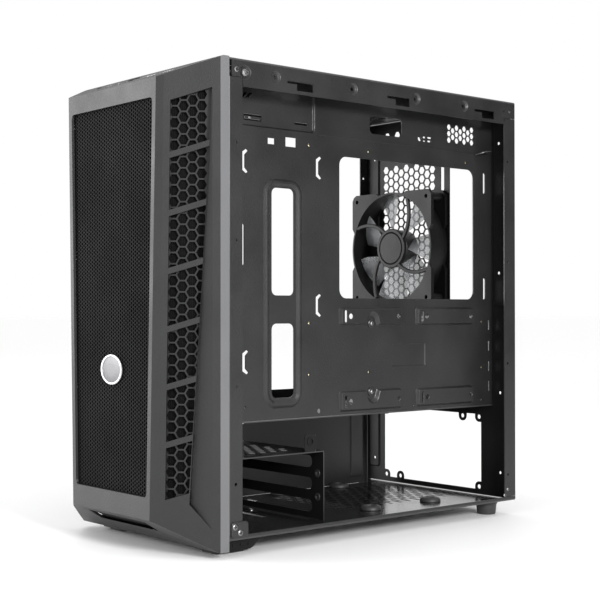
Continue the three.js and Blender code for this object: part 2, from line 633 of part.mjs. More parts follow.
function panelBody(inset, back) {
  const heights = spaced(-10, HEIGHT + 10, SIDE_STATIONS);
  const body = loft(...heights.map((z) => panelOutline(z, inset, back)));
  const slopeBack = FRONT + SLOPE_DEPTH;
  const lift = inset / Math.cos(SLOPE_ANGLE);
  const profile = polygon([
    [FRONT - 1, CHIN + 0.65 + lift], [RIM_FRONT, SKIRT + lift], [back, SKIRT + lift],
    [back, HEIGHT - inset], [slopeBack, HEIGHT - lift],
    [FRONT - 1, HEIGHT - SLOPE_DROP - 0.4 - lift]]);
  return body.intersect(slab('YZ', profile, -WIDTH, WIDTH));
}

// A point on the panel's side, at a share of the way from the bevel to the rim.
function sidePoint(share, z, outward) {
  const x0 = faceHalf(z) + BEVEL;
  const y0 = FRONT + BEVEL_DEPTH;
  const dx = WIDTH / 2 - x0;
  const dy = RIM_FRONT - y0;
  const length = Math.hypot(dx, dy);
  return [x0 + dx * share + outward * dy / length, y0 + dy * share - outward * dx / length, z];
}

function windowEnd(z) {
  const span = WINDOWS * WINDOW_PITCH;
  return WINDOW.endLow + (WINDOW.endHigh - WINDOW.endLow) * (z - WINDOW.first) / span;
}

function sideWindows() {
  return Array.from({ length: WINDOWS }, (_, i) => {
    const low = WINDOW.first + i * WINDOW_PITCH;
    const high = low + WINDOW_PITCH - WINDOW.slat;
    const corners = (outward) => [
      sidePoint(WINDOW.start, low, outward),
      sidePoint(windowEnd(low), low + WINDOW.rise * windowEnd(low), outward),
      sidePoint(windowEnd(high), high + WINDOW.rise * windowEnd(high), outward),
      sidePoint(WINDOW.start, high, outward)];
    return loft(corners(-8), corners(4));
  });
}

// Puts a solid made round the Z axis on the top slope, its axis square to the slope.
function onSlope(solid, x) {
  const middle = SLOPE_DEPTH / 2;
  return solid.rotate([SLOPE_ANGLE * 180 / Math.PI, 0, 0])
    .translate([x, FRONT + middle, HEIGHT - SLOPE_DROP / 2]);
}

function controlHoles() {
  const round = (x, radius) => onSlope(disc(radius, -PANEL_WALL * 3, PANEL_WALL, 20), x);
  const buttons = [POWER_BUTTON, RESET_BUTTON].map((b) => round(b.x, b.radius + MOVING_GAP / 2));
  const jacks = JACK_X.map((x) => round(x, JACK.radius + GAP));
  const width = USB.width / 2 + GAP;
  const height = USB.height / 2 + GAP;
  const ports = USB_X.map((x) =>
    onSlope(box(-width, width, -height, height, -PANEL_WALL * 3, PANEL_WALL), x));
  return [...buttons, ...jacks, ...ports, round(LED.x, LED.radius + GAP)];
}

function faceOpening(grow) {
  const { bottom, border, radius: r } = FACE_OPENING;
  const top = HEIGHT - FACE_OPENING.topGap;
  const shape = new THREE.Shape();
  const topHalf = faceHalf(top) - border + grow;
  const bottomHalf = faceHalf(bottom) - border + grow;
  shape.moveTo(-bottomHalf + r, bottom - grow);
  shape.lineTo(bottomHalf - r, bottom - grow);
  shape.quadraticCurveTo(bottomHalf, bottom - grow, bottomHalf, bottom - grow + r);
  shape.lineTo(topHalf, top + grow - r);
  shape.quadraticCurveTo(topHalf, top + grow, topHalf - r, top + grow);
  shape.lineTo(-topHalf + r, top + grow);
  shape.quadraticCurveTo(-topHalf, top + grow, -topHalf, top + grow - r);
  shape.lineTo(-bottomHalf, bottom - grow + r);
  shape.quadraticCurveTo(-bottomHalf, bottom - grow, -bottomHalf + r, bottom - grow);
  return shape;
}

function frontPanel() {
  const shell = panelBody(0, CHASSIS_FRONT - GAP).subtract(panelBody(PANEL_WALL, CHASSIS_FRONT + 5));
  const opening = slab('XZ', faceOpening(0), FRONT - 2, FRONT + PANEL_WALL + 3, 3);
  const right = joined(...sideWindows());
  const left = right.mirror([1, 0, 0]);
  return piece('front_bezel', cut(shell, opening, right, left, ...controlHoles()), PANEL_PLASTIC);
}

function frontMesh() {
  const y = FRONT + PANEL_WALL + GAP;
  return piece('front_mesh', slab('XZ', faceOpening(MESH_OVERLAP), y, y + MESH_SHEET, 2), MESH_STEEL);
}

function sideMesh(side) {
  const low = WINDOW.first - MESH_OVERLAP;
  const high = WINDOW.first + WINDOWS * WINDOW_PITCH + WINDOW.rise;
  const end = WINDOW.endHigh + 0.02;
  const depth = -PANEL_WALL - MESH_SEAT;
  const strip = (z) => [
    sidePoint(WINDOW.start - 0.02, z, depth), sidePoint(WINDOW.start - 0.02, z, depth - MESH_SHEET),
    sidePoint(end, z, depth - MESH_SHEET), sidePoint(end, z, depth)];
  const plate = loft(...spaced(low, high, SIDE_STATIONS).map(strip).map((ring) => ring.reverse()));
  const solid = side > 0 ? plate : plate.mirror([1, 0, 0]);
  return piece(side < 0 ? 'side_mesh_left' : 'side_mesh_right', solid, MESH_STEEL);
}

function badge() {
  const shape = new THREE.Shape().absellipse(0, 0, BADGE.width / 2, BADGE.height / 2, 0, 2 * Math.PI);
  const meshFront = FRONT + PANEL_WALL;
  const solid = slab('XZ', shape, -BADGE.thickness, 0, 10);
  const mesh = piece('front_badge', solid, BADGE_METAL);
  mesh.position.set(0, meshFront, BADGE.z);
  return mesh;
}

// A group whose Z axis is square to the top slope, at a place along the width.
function slopeGroup(x, ...meshes) {
  const group = new THREE.Group();
  group.position.set(x, FRONT + SLOPE_DEPTH / 2, HEIGHT - SLOPE_DROP / 2);
  group.rotation.x = SLOPE_ANGLE;
  group.add(...meshes);
  return group;
}

function button(name, size) {
  const radius = size.radius - MOVING_GAP / 2;
  const low = -size.cap - size.stemLength;
  const profile = [[0, low], [size.stem, low], [size.stem, -size.cap], [radius, -size.cap],
    [radius, size.proud - BUTTON_EDGE.height], [radius - BUTTON_EDGE.width, size.proud],
    [0, size.proud]];
  return slopeGroup(size.x, piece(name, turned(profile, 24), PANEL_PLASTIC));
}

function audioJack(x, i) {
  const profile = [[JACK.hole, 0], [JACK.hole, JACK.floor - JACK.length], [0, JACK.floor - JACK.length],
    [0, -JACK.length], [JACK.radius, -JACK.length], [JACK.radius, 0], [JACK.hole, 0]];
  return slopeGroup(x, piece(`audio_jack_${i + 1}`, turned(profile, 20), DARK_PLASTIC));
}

function usbPort(x, i) {
  const w = USB.width / 2;
  const h = USB.height / 2;
  const s = USB.shell;
  const shell = cut(box(-w, w, -h, h, -USB.length, 0), box(-w + s, w - s, -h + s, h - s, -USB.tongue, 1));
  return slopeGroup(x, piece(`usb_port_${i + 1}`, shell, PORT_STEEL));
}

function lamp() {
  return slopeGroup(LED.x, piece('power_led', disc(LED.radius, -LED.length, 0, 12), LAMP));
}

function controlBoard() {
  const plate = box(-BOARD.halfLength, BOARD.halfLength, -BOARD.width / 2, BOARD.width / 2,
    -BOARD.depth - BOARD.thickness, -BOARD.depth);
  return slopeGroup(0, piece('control_board', plate, CIRCUIT_GREEN));
}

// ---------------------------------------------------------------- assembly

const tower = new THREE.Group();
tower.add(basePan(), frontFrame(), rearPanel(), topPanel(), motherboardTray());
tower.add(powerSupplyShroud(), driveCage(), ...standoffs());
tower.add(...slotCovers(), slotRetainer());
tower.add(topFilter(), bottomFilter());
for (const side of [-1, 1]) {
  tower.add(rearFoot(side), ...frontFoot(side), sideMesh(side), filterRunner(side));
}
tower.add(...supplyPads());
tower.add(fan('rear_fan', REAR_FAN.fromSide - SIDE, INNER_REAR - FAN.depth,
  HEIGHT - REAR_FAN.fromTop, 'front'));
frontFanHeights().forEach((z, i) => {
  tower.add(fan(`front_fan_${i + 1}`, 0, CHASSIS_FRONT - GAP, z, 'rear'));
});
tower.add(frontPanel(), frontMesh(), badge());
tower.add(button('power_button', POWER_BUTTON), button('reset_button', RESET_BUTTON));
tower.add(...JACK_X.map(audioJack), ...USB_X.map(usbPort), lamp(), controlBoard());

export default tower;
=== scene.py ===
"""Desktop computer tower with both side covers off: pressed steel chassis, cooling fans,
filters and a moulded front panel. Sizes are in millimetres until a mesh is made."""

import math

import bmesh
import bpy
from bpy.props import FloatProperty, FloatVectorProperty, PointerProperty
from mathutils import Matrix, Vector
from mathutils.geometry import delaunay_2d_cdt


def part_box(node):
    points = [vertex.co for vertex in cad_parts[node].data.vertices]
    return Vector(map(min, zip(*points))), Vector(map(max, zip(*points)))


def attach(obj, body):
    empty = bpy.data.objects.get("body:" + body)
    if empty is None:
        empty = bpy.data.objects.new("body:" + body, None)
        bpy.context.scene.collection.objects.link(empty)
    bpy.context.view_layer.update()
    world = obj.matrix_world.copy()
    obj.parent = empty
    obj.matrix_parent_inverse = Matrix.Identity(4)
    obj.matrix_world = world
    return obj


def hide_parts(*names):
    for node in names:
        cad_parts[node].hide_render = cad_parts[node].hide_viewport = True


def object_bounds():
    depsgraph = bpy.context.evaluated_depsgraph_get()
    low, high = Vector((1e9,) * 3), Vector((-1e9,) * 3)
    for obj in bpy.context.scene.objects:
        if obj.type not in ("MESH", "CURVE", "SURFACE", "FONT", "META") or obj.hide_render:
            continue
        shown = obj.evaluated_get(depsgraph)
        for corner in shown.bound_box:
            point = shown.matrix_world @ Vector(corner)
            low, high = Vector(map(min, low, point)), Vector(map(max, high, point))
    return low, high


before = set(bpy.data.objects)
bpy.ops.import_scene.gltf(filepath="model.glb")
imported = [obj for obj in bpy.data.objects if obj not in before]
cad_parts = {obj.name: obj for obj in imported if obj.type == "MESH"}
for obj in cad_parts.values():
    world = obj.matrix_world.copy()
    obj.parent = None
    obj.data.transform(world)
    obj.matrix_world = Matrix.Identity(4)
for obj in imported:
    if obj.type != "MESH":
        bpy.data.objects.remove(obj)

bl_info = {
    "name": "Desktop Tower",
    "version": (1, 0, 0),
    "blender": (4, 5, 0),
    "location": "3D View > Sidebar > Tower",
    "description": "Builds the looks of a desktop computer tower",
    "category": "Object",
}

MM = 0.001
SHEET = 1.0  # steel sheet
MESH_LOW, MESH_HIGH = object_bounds()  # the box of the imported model


def span(node):
    """A node's lowest and highest corners in millimetres, as x0, y0, z0, x1, y1, z1."""
    low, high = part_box(node)
    return [v / MM for v in (*low, *high)]


# ------------------------------------------------------------------ outlines

def rectangle(x0, y0, x1, y1):
    return [(x0, y0), (x1, y0), (x1, y1), (x0, y1)]


def arc(x, y, radius, start, end, steps):
    """Points on an arc; the angles are in degrees."""
    angles = [math.radians(start + (end - start) * i / steps) for i in range(steps + 1)]
    return [(x + radius * math.cos(a), y + radius * math.sin(a)) for a in angles]


def circle(x, y, radius, steps=20):
    return arc(x, y, radius, 0, 360 * (steps - 1) / steps, steps - 1)


def rounded(x0, y0, x1, y1, radius, steps=5):
    """A rectangle with round corners, anticlockwise."""
    r = min(radius, (x1 - x0) / 2.01, (y1 - y0) / 2.01)
    return (arc(x1 - r, y0 + r, r, -90, 0, steps) + arc(x1 - r, y1 - r, r, 0, 90, steps)
            + arc(x0 + r, y1 - r, r, 90, 180, steps) + arc(x0 + r, y0 + r, r, 180, 270, steps))


def honeycomb(x0, y0, x1, y1, pitch, hole, keep=None):
    """Hexagon holes with points left and right, in staggered columns, inside a rectangle."""
    half = hole / 2
    corner = half / math.cos(math.radians(30))
    column = pitch * math.sqrt(3) / 2
    holes = []
    for i in range(int((x1 - x0 - 2 * corner) / column) + 1):
        x = x0 + corner + i * column
        y = y0 + half + (pitch / 2 if i % 2 else 0)
        while y + half <= y1:
            if keep is None or keep(x, y):
                holes.append(arc(x, y, corner, 0, 300, 5))
            y += pitch
    return holes


def inside(x, y, loop):
    """True if a point is inside a closed outline."""
    found = False
    ax, ay = loop[-1]
    for bx, by in loop:
        if (ay > y) != (by > y) and x < (bx - ax) * (y - ay) / (by - ay) + ax:
            found = not found
        ax, ay = bx, by
    return found


def pressed(shape, height, run=1.4):
    """Contours of a raised or sunk area. shape(inset) gives its outline, and run is the
    width of the sloped wall."""
    return [(shape(0), 0), (shape(0.25 * run), 0.12 * height),
            (shape(0.75 * run), 0.88 * height), (shape(run), height)]


def pressed_rectangle(x0, y0, x1, y1, radius, height, run=1.4):
    def outline(inset):
        return rounded(x0 + inset, y0 + inset, x1 - inset, y1 - inset,
                       max(radius - inset, 0.6))
    return pressed(outline, height, run)


def pressed_circle(x, y, radius, height, run=1.0):
    return pressed(lambda inset: circle(x, y, radius - inset, 24), height, run)


def bead(x0, y0, x1, y1, radius, height, width):
    """A raised ridge that runs round a rounded rectangle."""
    def outline(inset):
        return rounded(x0 + inset, y0 + inset, x1 - inset, y1 - inset, radius - inset, 8)
    shares = [(0, 0), (0.2, 0.55), (0.38, 1), (0.62, 1), (0.8, 0.55), (1, 0)]
    return [(outline(width * share), height * rise) for share, rise in shares]


# ------------------------------------------------------------------ solids

def sheet(outline, holes=(), presses=(), thickness=SHEET):
    """A sheet drawn on the plane w = 0, with holes and pressed areas. Its back is at
    w = -thickness. Gives points, faces and finish numbers: 1 is the cut edge."""
    loops = [(outline, 0.0)]
    for press in presses:
        loops += [(loop, height) for loop, height in press]
    first_hole = len(loops)
    for hole in holes:
        level = 0.0
        for press in presses:
            loop, height = press[-1]
            if inside(*hole[0], loop):
                level = height
        loops.append((hole, level))
    flat, edges, heights, owner = [], [], [], []
    for number, (loop, height) in enumerate(loops):
        start = len(flat)
        flat += [Vector(p) for p in loop]
        edges += [(start + i, start + (i + 1) % len(loop)) for i in range(len(loop))]
        heights += [height] * len(loop)
        owner += [number] * len(loop)
    made, _, triangles, origin, _, _ = delaunay_2d_cdt(flat, edges, [], 1, 1e-5)
    source = [o[0] if o else None for o in origin]
    points = [(p.x, p.y, heights[s] if s is not None else 0.0)
              for p, s in zip(made, source)]
    kept = []
    for face in triangles:
        owners = {owner[source[i]] if source[i] is not None else -1 for i in face}
        x = sum(points[i][0] for i in face) / 3
        y = sum(points[i][1] for i in face) / 3
        if len(owners) == 1:
            number = owners.pop()
            if number >= first_hole and inside(x, y, loops[number][0]):
                continue
        if inside(x, y, outline):
            kept.append(list(face))
    count = len(points)
    directed = {(f[i], f[(i + 1) % 3]) for f in kept for i in range(3)}
    walls = [[a, a + count, b + count, b] for a, b in sorted(directed)
             if (b, a) not in directed]
    points += [(x, y, w - thickness) for x, y, w in points]
    back = [[i + count for i in reversed(f)] for f in kept]
    return points, kept + back + walls, [0] * (2 * len(kept)) + [1] * len(walls)


def turned(profile, segments=32):
    """A solid turned about the Z axis. A profile point is (radius, z) or (radius, z,
    lobes), and lobes of 0.4 make a four-lobed recess. Ends on the axis are closed."""
    points, rings, faces = [], [], []
    for place in profile:
        radius, z, lobes = place if len(place) == 3 else (*place, 0)
        if radius == 0:
            rings.append([len(points)])
            points.append((0, 0, z))
            continue
        rings.append(list(range(len(points), len(points) + segments)))
        for i in range(segments):
            angle = 2 * math.pi * i / segments
            r = radius * (1 + lobes * math.cos(4 * angle))
            points.append((r * math.cos(angle), r * math.sin(angle), z))
    if profile[0][0] != 0:
        rings.append(rings[0])
    for low, high in zip(rings, rings[1:]):
        for i in range(segments):
            j = (i + 1) % segments
            if len(low) == 1:
                faces.append([low[0], high[j], high[i]])
            elif len(high) == 1:
                faces.append([low[i], low[j], high[0]])
            else:
                faces.append([low[i], low[j], high[j], high[i]])
    return points, faces, [0] * len(faces)


def block(x0, y0, z0, x1, y1, z1, edge=0.5):
    """A block with rounded edges."""
    mesh = bmesh.new()
    size = Matrix.Diagonal((x1 - x0, y1 - y0, z1 - z0, 1))
    middle = Matrix.Translation(((x0 + x1) / 2, (y0 + y1) / 2, (z0 + z1) / 2))
    bmesh.ops.create_cube(mesh, size=1, matrix=middle @ size)
    bmesh.ops.bevel(mesh, geom=mesh.edges[:], offset=edge, segments=2, affect="EDGES",
                    profile=0.5, clamp_overlap=True)
    points = [tuple(v.co) for v in mesh.verts]
    faces = [[v.index for v in f.verts] for f in mesh.faces]
    mesh.free()
    return points, faces, [0] * len(faces)


def loft(*outlines):
    """A closed solid through outlines with the same number of points. Each runs
    anticlockwise when seen from the last one's side."""
    count = len(outlines[0])
    last = (len(outlines) - 1) * count
    faces = [list(range(count - 1, -1, -1)), [last + i for i in range(count)]]
    for start in range(0, last, count):
        for i in range(count):
            a, b = start + i, start + (i + 1) % count
            faces.append([a, b, b + count, a + count])
    return [p for outline in outlines for p in outline], faces, [0] * len(faces)


def hull(points):
    """The convex solid round a set of points."""
    mesh = bmesh.new()
    made = bmesh.ops.convex_hull(mesh, input=[mesh.verts.new(p) for p in points])
    unused = {v for v in made["geom_interior"] if isinstance(v, bmesh.types.BMVert)}
    bmesh.ops.delete(mesh, geom=list(unused), context="VERTS")
    mesh.verts.index_update()
    corners = [tuple(v.co) for v in mesh.verts]
    faces = [[v.index for v in f.verts] for f in mesh.faces]
    mesh.free()
    return corners, faces, [0] * len(faces)


def sweep(path, width, height, up=(0, 0, 1)):
    """A bar with an eight-sided section along a path."""
    up = Vector(up)
    outlines = []
    for i, place in enumerate(path):
        before, after = path[max(i - 1, 0)], path[min(i + 1, len(path) - 1)]
        along = (Vector(after) - Vector(before)).normalized()
        side = along.cross(up).normalized()
        lift = side.cross(along)
        section = [(1, 0.5), (0.7, 1), (-0.7, 1), (-1, 0.5),
                   (-1, -0.5), (-0.7, -1), (0.7, -1), (1, -0.5)]
        outlines.append([tuple(Vector(place) + side * (a * width / 2)
                               + lift * (b * height / 2)) for a, b in reversed(section)])
    return loft(*outlines)


# Where the drawing planes stand: u, v and w become x, y and z.
def on_floor(z):
    return Matrix.Translation((0, 0, z))


def facing_side(x):
    return Matrix(((0, 0, 1, x), (1, 0, 0, 0), (0, 1, 0, 0), (0, 0, 0, 1)))


def facing_front(y):
    return Matrix(((1, 0, 0, 0), (0, 0, -1, y), (0, 1, 0, 0), (0, 0, 0, 1)))


def standing(x, y, z, axis="Z"):
    """Puts a turned solid at a place with its axis along X, -X, Y, -Y, Z or -Z."""
    turns = {"Z": Matrix(), "-Z": Matrix.Rotation(math.pi, 4, "X"),
             "X": Matrix.Rotation(math.pi / 2, 4, "Y"),
             "-X": Matrix.Rotation(-math.pi / 2, 4, "Y"),
             "Y": Matrix.Rotation(-math.pi / 2, 4, "X"),
             "-Y": Matrix.Rotation(math.pi / 2, 4, "X")}
    return Matrix.Translation((x, y, z)) @ turns[axis]


class Solid:
    """Gathers points, faces and finish numbers, and makes one object of them."""

    def __init__(self):
        self.points, self.faces, self.finishes = [], [], []

    def add(self, part, place=None, finish=None):
        points, faces, finishes = part
        start = len(self.points)
        place = place or Matrix()
        move = place if callable(place) else place.__matmul__
        self.points += [tuple(move(Vector(p))) for p in points]
        self.faces += [[start + i for i in f] for f in faces]
        self.finishes += finishes if finish is None else [finish] * len(faces)
        return self

    def mirrored(self):
        """Adds the same again on the other side of x = 0."""
        start = len(self.points)
        self.points += [(-x, y, z) for x, y, z in self.points]
        self.faces += [[start + i for i in reversed(f)] for f in self.faces]
        self.finishes += self.finishes
        return self

    def both_sides(self, side):
        """Adds a right side and its mirror image."""
        side.mirrored()
        return self.add((side.points, side.faces, side.finishes))

    def mesh(self, name, smooth=32):
        mesh = bpy.data.meshes.new(name)
        mesh.from_pydata([[c * MM for c in p] for p in self.points], [], self.faces)
        mesh.polygons.foreach_set("material_index", self.finishes)
        mesh.update()
        mesh.shade_smooth()
        mesh.set_sharp_from_angle(angle=math.radians(smooth))
        for face in mesh.polygons:
            if max(abs(c) for c in face.normal) > 0.9999:
                face.use_smooth = False
        return mesh


def fit(name, shape, finishes, body, slot, *nodes):
    """Makes the object from a Solid or a mesh, gives it its finishes by name and fixes it
    to its body."""
    mesh = shape.mesh(name) if isinstance(shape, Solid) else shape
    for finish in finishes:
        mesh.materials.append(FINISHES[finish])
    piece = bpy.data.objects.new(name, mesh)
    bpy.context.scene.collection.objects.link(piece)
    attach(piece, body)
    if nodes:
        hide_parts(*nodes)
    return piece


def screw_head(radius=3.0, height=1.8):
    """A pan head with a four-lobed recess."""
    return turned([(0, 0), (radius, 0), (radius, 0.35 * height), (0.86 * radius, 0.75 * height),
                   (0.6 * radius, height), (0.44 * radius, height, 0.35),
                   (0.36 * radius, 0.45 * height, 0.35), (0, 0.4 * height)], 24)


# ------------------------------------------------------------------ finishes

class Finish:
    """A material that is built up from nodes in the object's own space."""

    def __init__(self, name, **values):
        self.material = bpy.data.materials.new(name)
        self.material.use_nodes = True
        self.tree = self.material.node_tree
        self.shader = self.tree.nodes["Principled BSDF"]
        for key, value in values.items():
            self.shader.inputs[key.replace("_", " ")].default_value = value

    def node(self, kind, inputs=None, output=0, **settings):
        """Adds a node, sets or links its inputs, and gives one of its outputs."""
        made = self.tree.nodes.new("ShaderNode" + kind)
        for key, value in settings.items():
            setattr(made, key, value)
        for key, value in (inputs or {}).items():
            if isinstance(value, bpy.types.NodeSocket):
                self.tree.links.new(value, made.inputs[key])
            else:
                made.inputs[key].default_value = value
        return made.outputs[output]

    def place(self):
        return self.node("TexCoord", output="Object")

    def remap(self, value, to_low, to_high, low=0.0, high=1.0):
        return self.node("MapRange", {"Value": value, "From Min": low, "From Max": high,
                                      "To Min": to_low, "To Max": to_high})

    def dress(self, colour, shade, gloss, height, strength, distance):
        """Colour times shade, roughness from gloss, and bumps of a height."""
        tint = self.node("VectorMath", {0: colour, "Scale": shade}, operation="SCALE")
        bump = self.node("Bump", {"Height": height, "Strength": strength,
                                  "Distance": distance})
        for value, socket in ((tint, "Base Color"), (gloss, "Roughness"), (bump, "Normal")):
            self.tree.links.new(value, self.shader.inputs[socket])
        return self.material


def grained(name, colour, roughness, metallic=0.0, grain=0.0009, depth=0.25, mottle=0.12,
            shine=0.5):
    """A textured finish: fine grain in the surface, and a little unevenness in its colour
    and gloss. grain is the size of a grain in metres."""
    made = Finish(name, Metallic=metallic, Specular_IOR_Level=shine)
    place = made.place()
    fine = made.node("TexNoise", {"Vector": place, "Scale": 1 / grain, "Detail": 2.0,
                                  "Roughness": 0.6})
    broad = made.node("TexNoise", {"Vector": place, "Scale": 22.0, "Detail": 4.0})
    mixed = made.node("Math", {0: fine, 1: broad}, operation="ADD")
    return made.dress(colour, made.remap(mixed, 1 - mottle, 1 + mottle, 0.6, 1.4),
                      made.remap(broad, roughness - 0.05, roughness + 0.06, 0.3, 0.7),
                      fine, depth, 0.0003)


def brushed(name, colour, roughness, axis):
    """Bright metal with fine lines across one axis."""
    made = Finish(name, Metallic=1.0)
    scale = [600.0] * 3
    scale[axis] = 12000.0
    stretched = made.node("Mapping", {"Vector": made.place(), "Scale": scale})
    lines = made.node("TexNoise", {"Vector": stretched, "Scale": 1.0, "Detail": 3.0})
    return made.dress(colour, made.remap(lines, 0.9, 1.06, 0.3, 0.7),
                      made.remap(lines, roughness - 0.08, roughness + 0.1), lines, 0.12,
                      0.0001)


def frosted(name, colour, opacity):
    """Frosted clear plastic."""
    made = Finish(name, Alpha=opacity)
    place = made.place()
    cloud = made.node("TexNoise", {"Vector": place, "Scale": 90.0, "Detail": 3.0})
    grain = made.node("TexNoise", {"Vector": place, "Scale": 2500.0})
    return made.dress(colour, made.remap(cloud, 0.93, 1.04, 0.3, 0.7),
                      made.remap(cloud, 0.4, 0.6), grain, 0.15, 0.0002)


def screen_cloth(name, colour, pitch):
    """Fine dust screen: a square weave with dark gaps."""
    made = Finish(name, Specular_IOR_Level=0.1)
    place = made.place()
    weave = [made.node("TexWave", {"Vector": place, "Scale": 1 / pitch / 3.18}, "Fac",
                       wave_type="BANDS", bands_direction=way) for way in ("X", "Z")]
    both = made.node("Math", {0: weave[0], 1: weave[1]}, operation="MAXIMUM")
    return made.dress(colour, made.remap(both, 0.25, 1.0, 0.45, 0.9),
                      made.remap(both, 0.85, 0.55), both, 0.5, 0.0004)


def traced_board(name, colour):
    """Green circuit board with faint traces."""
    made = Finish(name)
    cells = made.node("TexVoronoi", {"Vector": made.place(), "Scale": 260.0},
                      distance="CHEBYCHEV", feature="F1")
    traces = made.remap(cells, 1.0, 1.7, 0.42, 0.5)
    return made.dress(colour, traces, made.remap(cells, 0.35, 0.5), traces, 0.3, 0.0001)


def scaled(colour, share):
    return [min(c * share, 1.0) for c in colour]


FINISHES = {}


def make_finishes(tower):
    """Every finish of the tower, by name."""
    steel = tower.chassis.steel_colour
    panel = tower.panel.plastic_colour
    grain = tower.chassis.grain
    FINISHES.update(
        steel=grained("powder_coat", steel, 0.34, 0.0, grain, 0.5, 0.3),
        floor=grained("powder_coat_floor", steel, 0.14, 0.0, grain, 0.25, 0.2, 0.9),
        # Painted edge highlight: cut edges get the steel colour three times lighter.
        steel_edge=grained("powder_coat_painted_edge_highlight", scaled(steel, 3), 0.34, 0.2, grain, 0.1),
        cage=grained("black_powder_coat", tower.chassis.cage_colour, 0.45, 0.0, grain, 0.25,
                     0.12, 0.15),
        # Painted edge highlight: the cage's cut edges get its colour three and a half times
        # lighter.
        cage_edge=grained("black_powder_coat_painted_edge_highlight", scaled(tower.chassis.cage_colour, 3.5),
                          0.35, 0.1, grain, 0.1),
        panel=grained("moulded_panel", panel, 0.5, 0.0, 0.0013, 0.6, 0.3),
        # Painted highlight: the panel's side band gets the panel colour nine times lighter.
        rim=grained("moulded_panel_rim_painted_highlight", scaled(panel, 9), 0.4, 0.0, 0.0007, 0.2, 0.08),
        mesh=grained("perforated_sheet", tower.panel.mesh_colour, 0.7, 0.0, 0.0007, 0.2, 0.1,
                     0.12),
        comb=grained("honeycomb_moulding", scaled(panel, 0.9), 0.5, 0.0, 0.0007, 0.2),
        plastic=grained("black_moulding", (0.007, 0.007, 0.0075), 0.42, 0.0, 0.0008, 0.2, 0.1,
                        0.18),
        hub=grained("fan_hub", (0.011, 0.011, 0.0115), 0.35, 0.0, 0.0009, 0.1, 0.12, 0.35),
        rubber=grained("rubber", (0.022, 0.022, 0.022), 0.8, 0.0, 0.0011, 0.4, 0.2),
        rubber_shine=grained("rubber_pad", (0.03, 0.03, 0.03), 0.5, 0.0, 0.0011, 0.3, 0.15),
        screw=brushed("plated_screw", (0.26, 0.26, 0.265), 0.34, 0),
        dark_screw=grained("black_screw", (0.08, 0.08, 0.082), 0.32, 0.7, 0.0006, 0.1),
        brass=brushed("turned_brass", (0.5, 0.44, 0.32), 0.36, 2),
        port=brushed("port_shell", (0.62, 0.62, 0.63), 0.28, 2),
        badge=brushed("badge_rim", (0.5, 0.5, 0.51), 0.38, 0),
        badge_face=brushed("badge_face", (0.15, 0.15, 0.155), 0.42, 0),
        lamp=frosted("light_pipe", (0.9, 0.93, 0.95), 1.0),
        blade=frosted("frosted_blade", tower.fans.blade_colour, tower.fans.blade_opacity),
        screen=screen_cloth("dust_screen", (0.004, 0.004, 0.0042), 0.0011),
        front_screen=screen_cloth("front_screen", (0.011, 0.011, 0.0115), 0.0011),
        board=traced_board("circuit_board", (0.012, 0.06, 0.028)),
        port_core=grained("port_tongue", (0.02, 0.05, 0.12), 0.5, 0.0, 0.0008, 0.1),
    )


# ------------------------------------------------------------------ chassis

STEEL = ("steel", "steel_edge", "dark_screw", "screw", "cage", "floor")
# Finish 1 of the steel is a painted highlight on cut edges, and finish 4 is painted shade.
PAINTED_EDGE_HIGHLIGHT, SCREW_FINISH, BRIGHT_SCREW, PAINTED_SHADE_FINISH, FLOOR_FINISH = 1, 2, 3, 4, 5
WALL_LOW, WALL_HIGH = 15.6, 408.4  # lower and upper edge of the front and rear walls
FLANGE_START = 3.0  # how far a wall's side flanges start above its lower edge
FRONT_FLANGE, REAR_FLANGE = 378.8, 377.4  # their upper ends, from the same edge
FAN_SCREW = 52.5  # from a fan's axis to its screws, across and up
FAN_CORNERS = [(a, b) for a in (-FAN_SCREW, FAN_SCREW) for b in (-FAN_SCREW, FAN_SCREW)]
FAN_OPENING = 56.0  # radius of a fan's opening in the front wall
CELL, CELL_HOLE = 9, 7.6  # pitch and size of the walls' hexagon holes
RAIL_HOOKS = (-92.2, 25.7, 143.1)  # where the rail's side cover hooks start
RAIL_DISHES = (-104.8, -16.4, 63.1, 128.4)  # dished holes along the rail
DISH_HEIGHT = 398.8
PAD_NOTCH = 28.8  # the notch and stud of the drive pads
COMB_TEETH, COMB_PITCH, COMB_LOW, COMB_HIGH = 8, 4.9, 383.6, 387.6


def bend(outer_x, low_z, radius, y0, y1, top):
    """The rounded fold between a horizontal and an upright sheet on the right side."""
    centre = (outer_x - radius, low_z - radius if top else low_z + radius)
    angles = (90, 0) if top else (-90, 0)
    outside = arc(*centre, radius, *angles, 6)
    profile = outside + arc(*centre, radius - SHEET, angles[1], angles[0], 6)
    return sheet(profile, thickness=y1 - y0), facing_front(y0)


def vent_slots(x0, y0, x1, y1, length, width, step_x, step_y):
    """Staggered slots with round ends."""
    holes = []
    row = 0
    y = y0
    while y + width <= y1:
        x = x0 + (step_x / 2 if row % 2 else 0)
        while x + length <= x1:
            holes.append(rounded(x, y, x + length, y + width, width / 2, 3))
            x += step_x
        y += step_y
        row += 1
    return holes


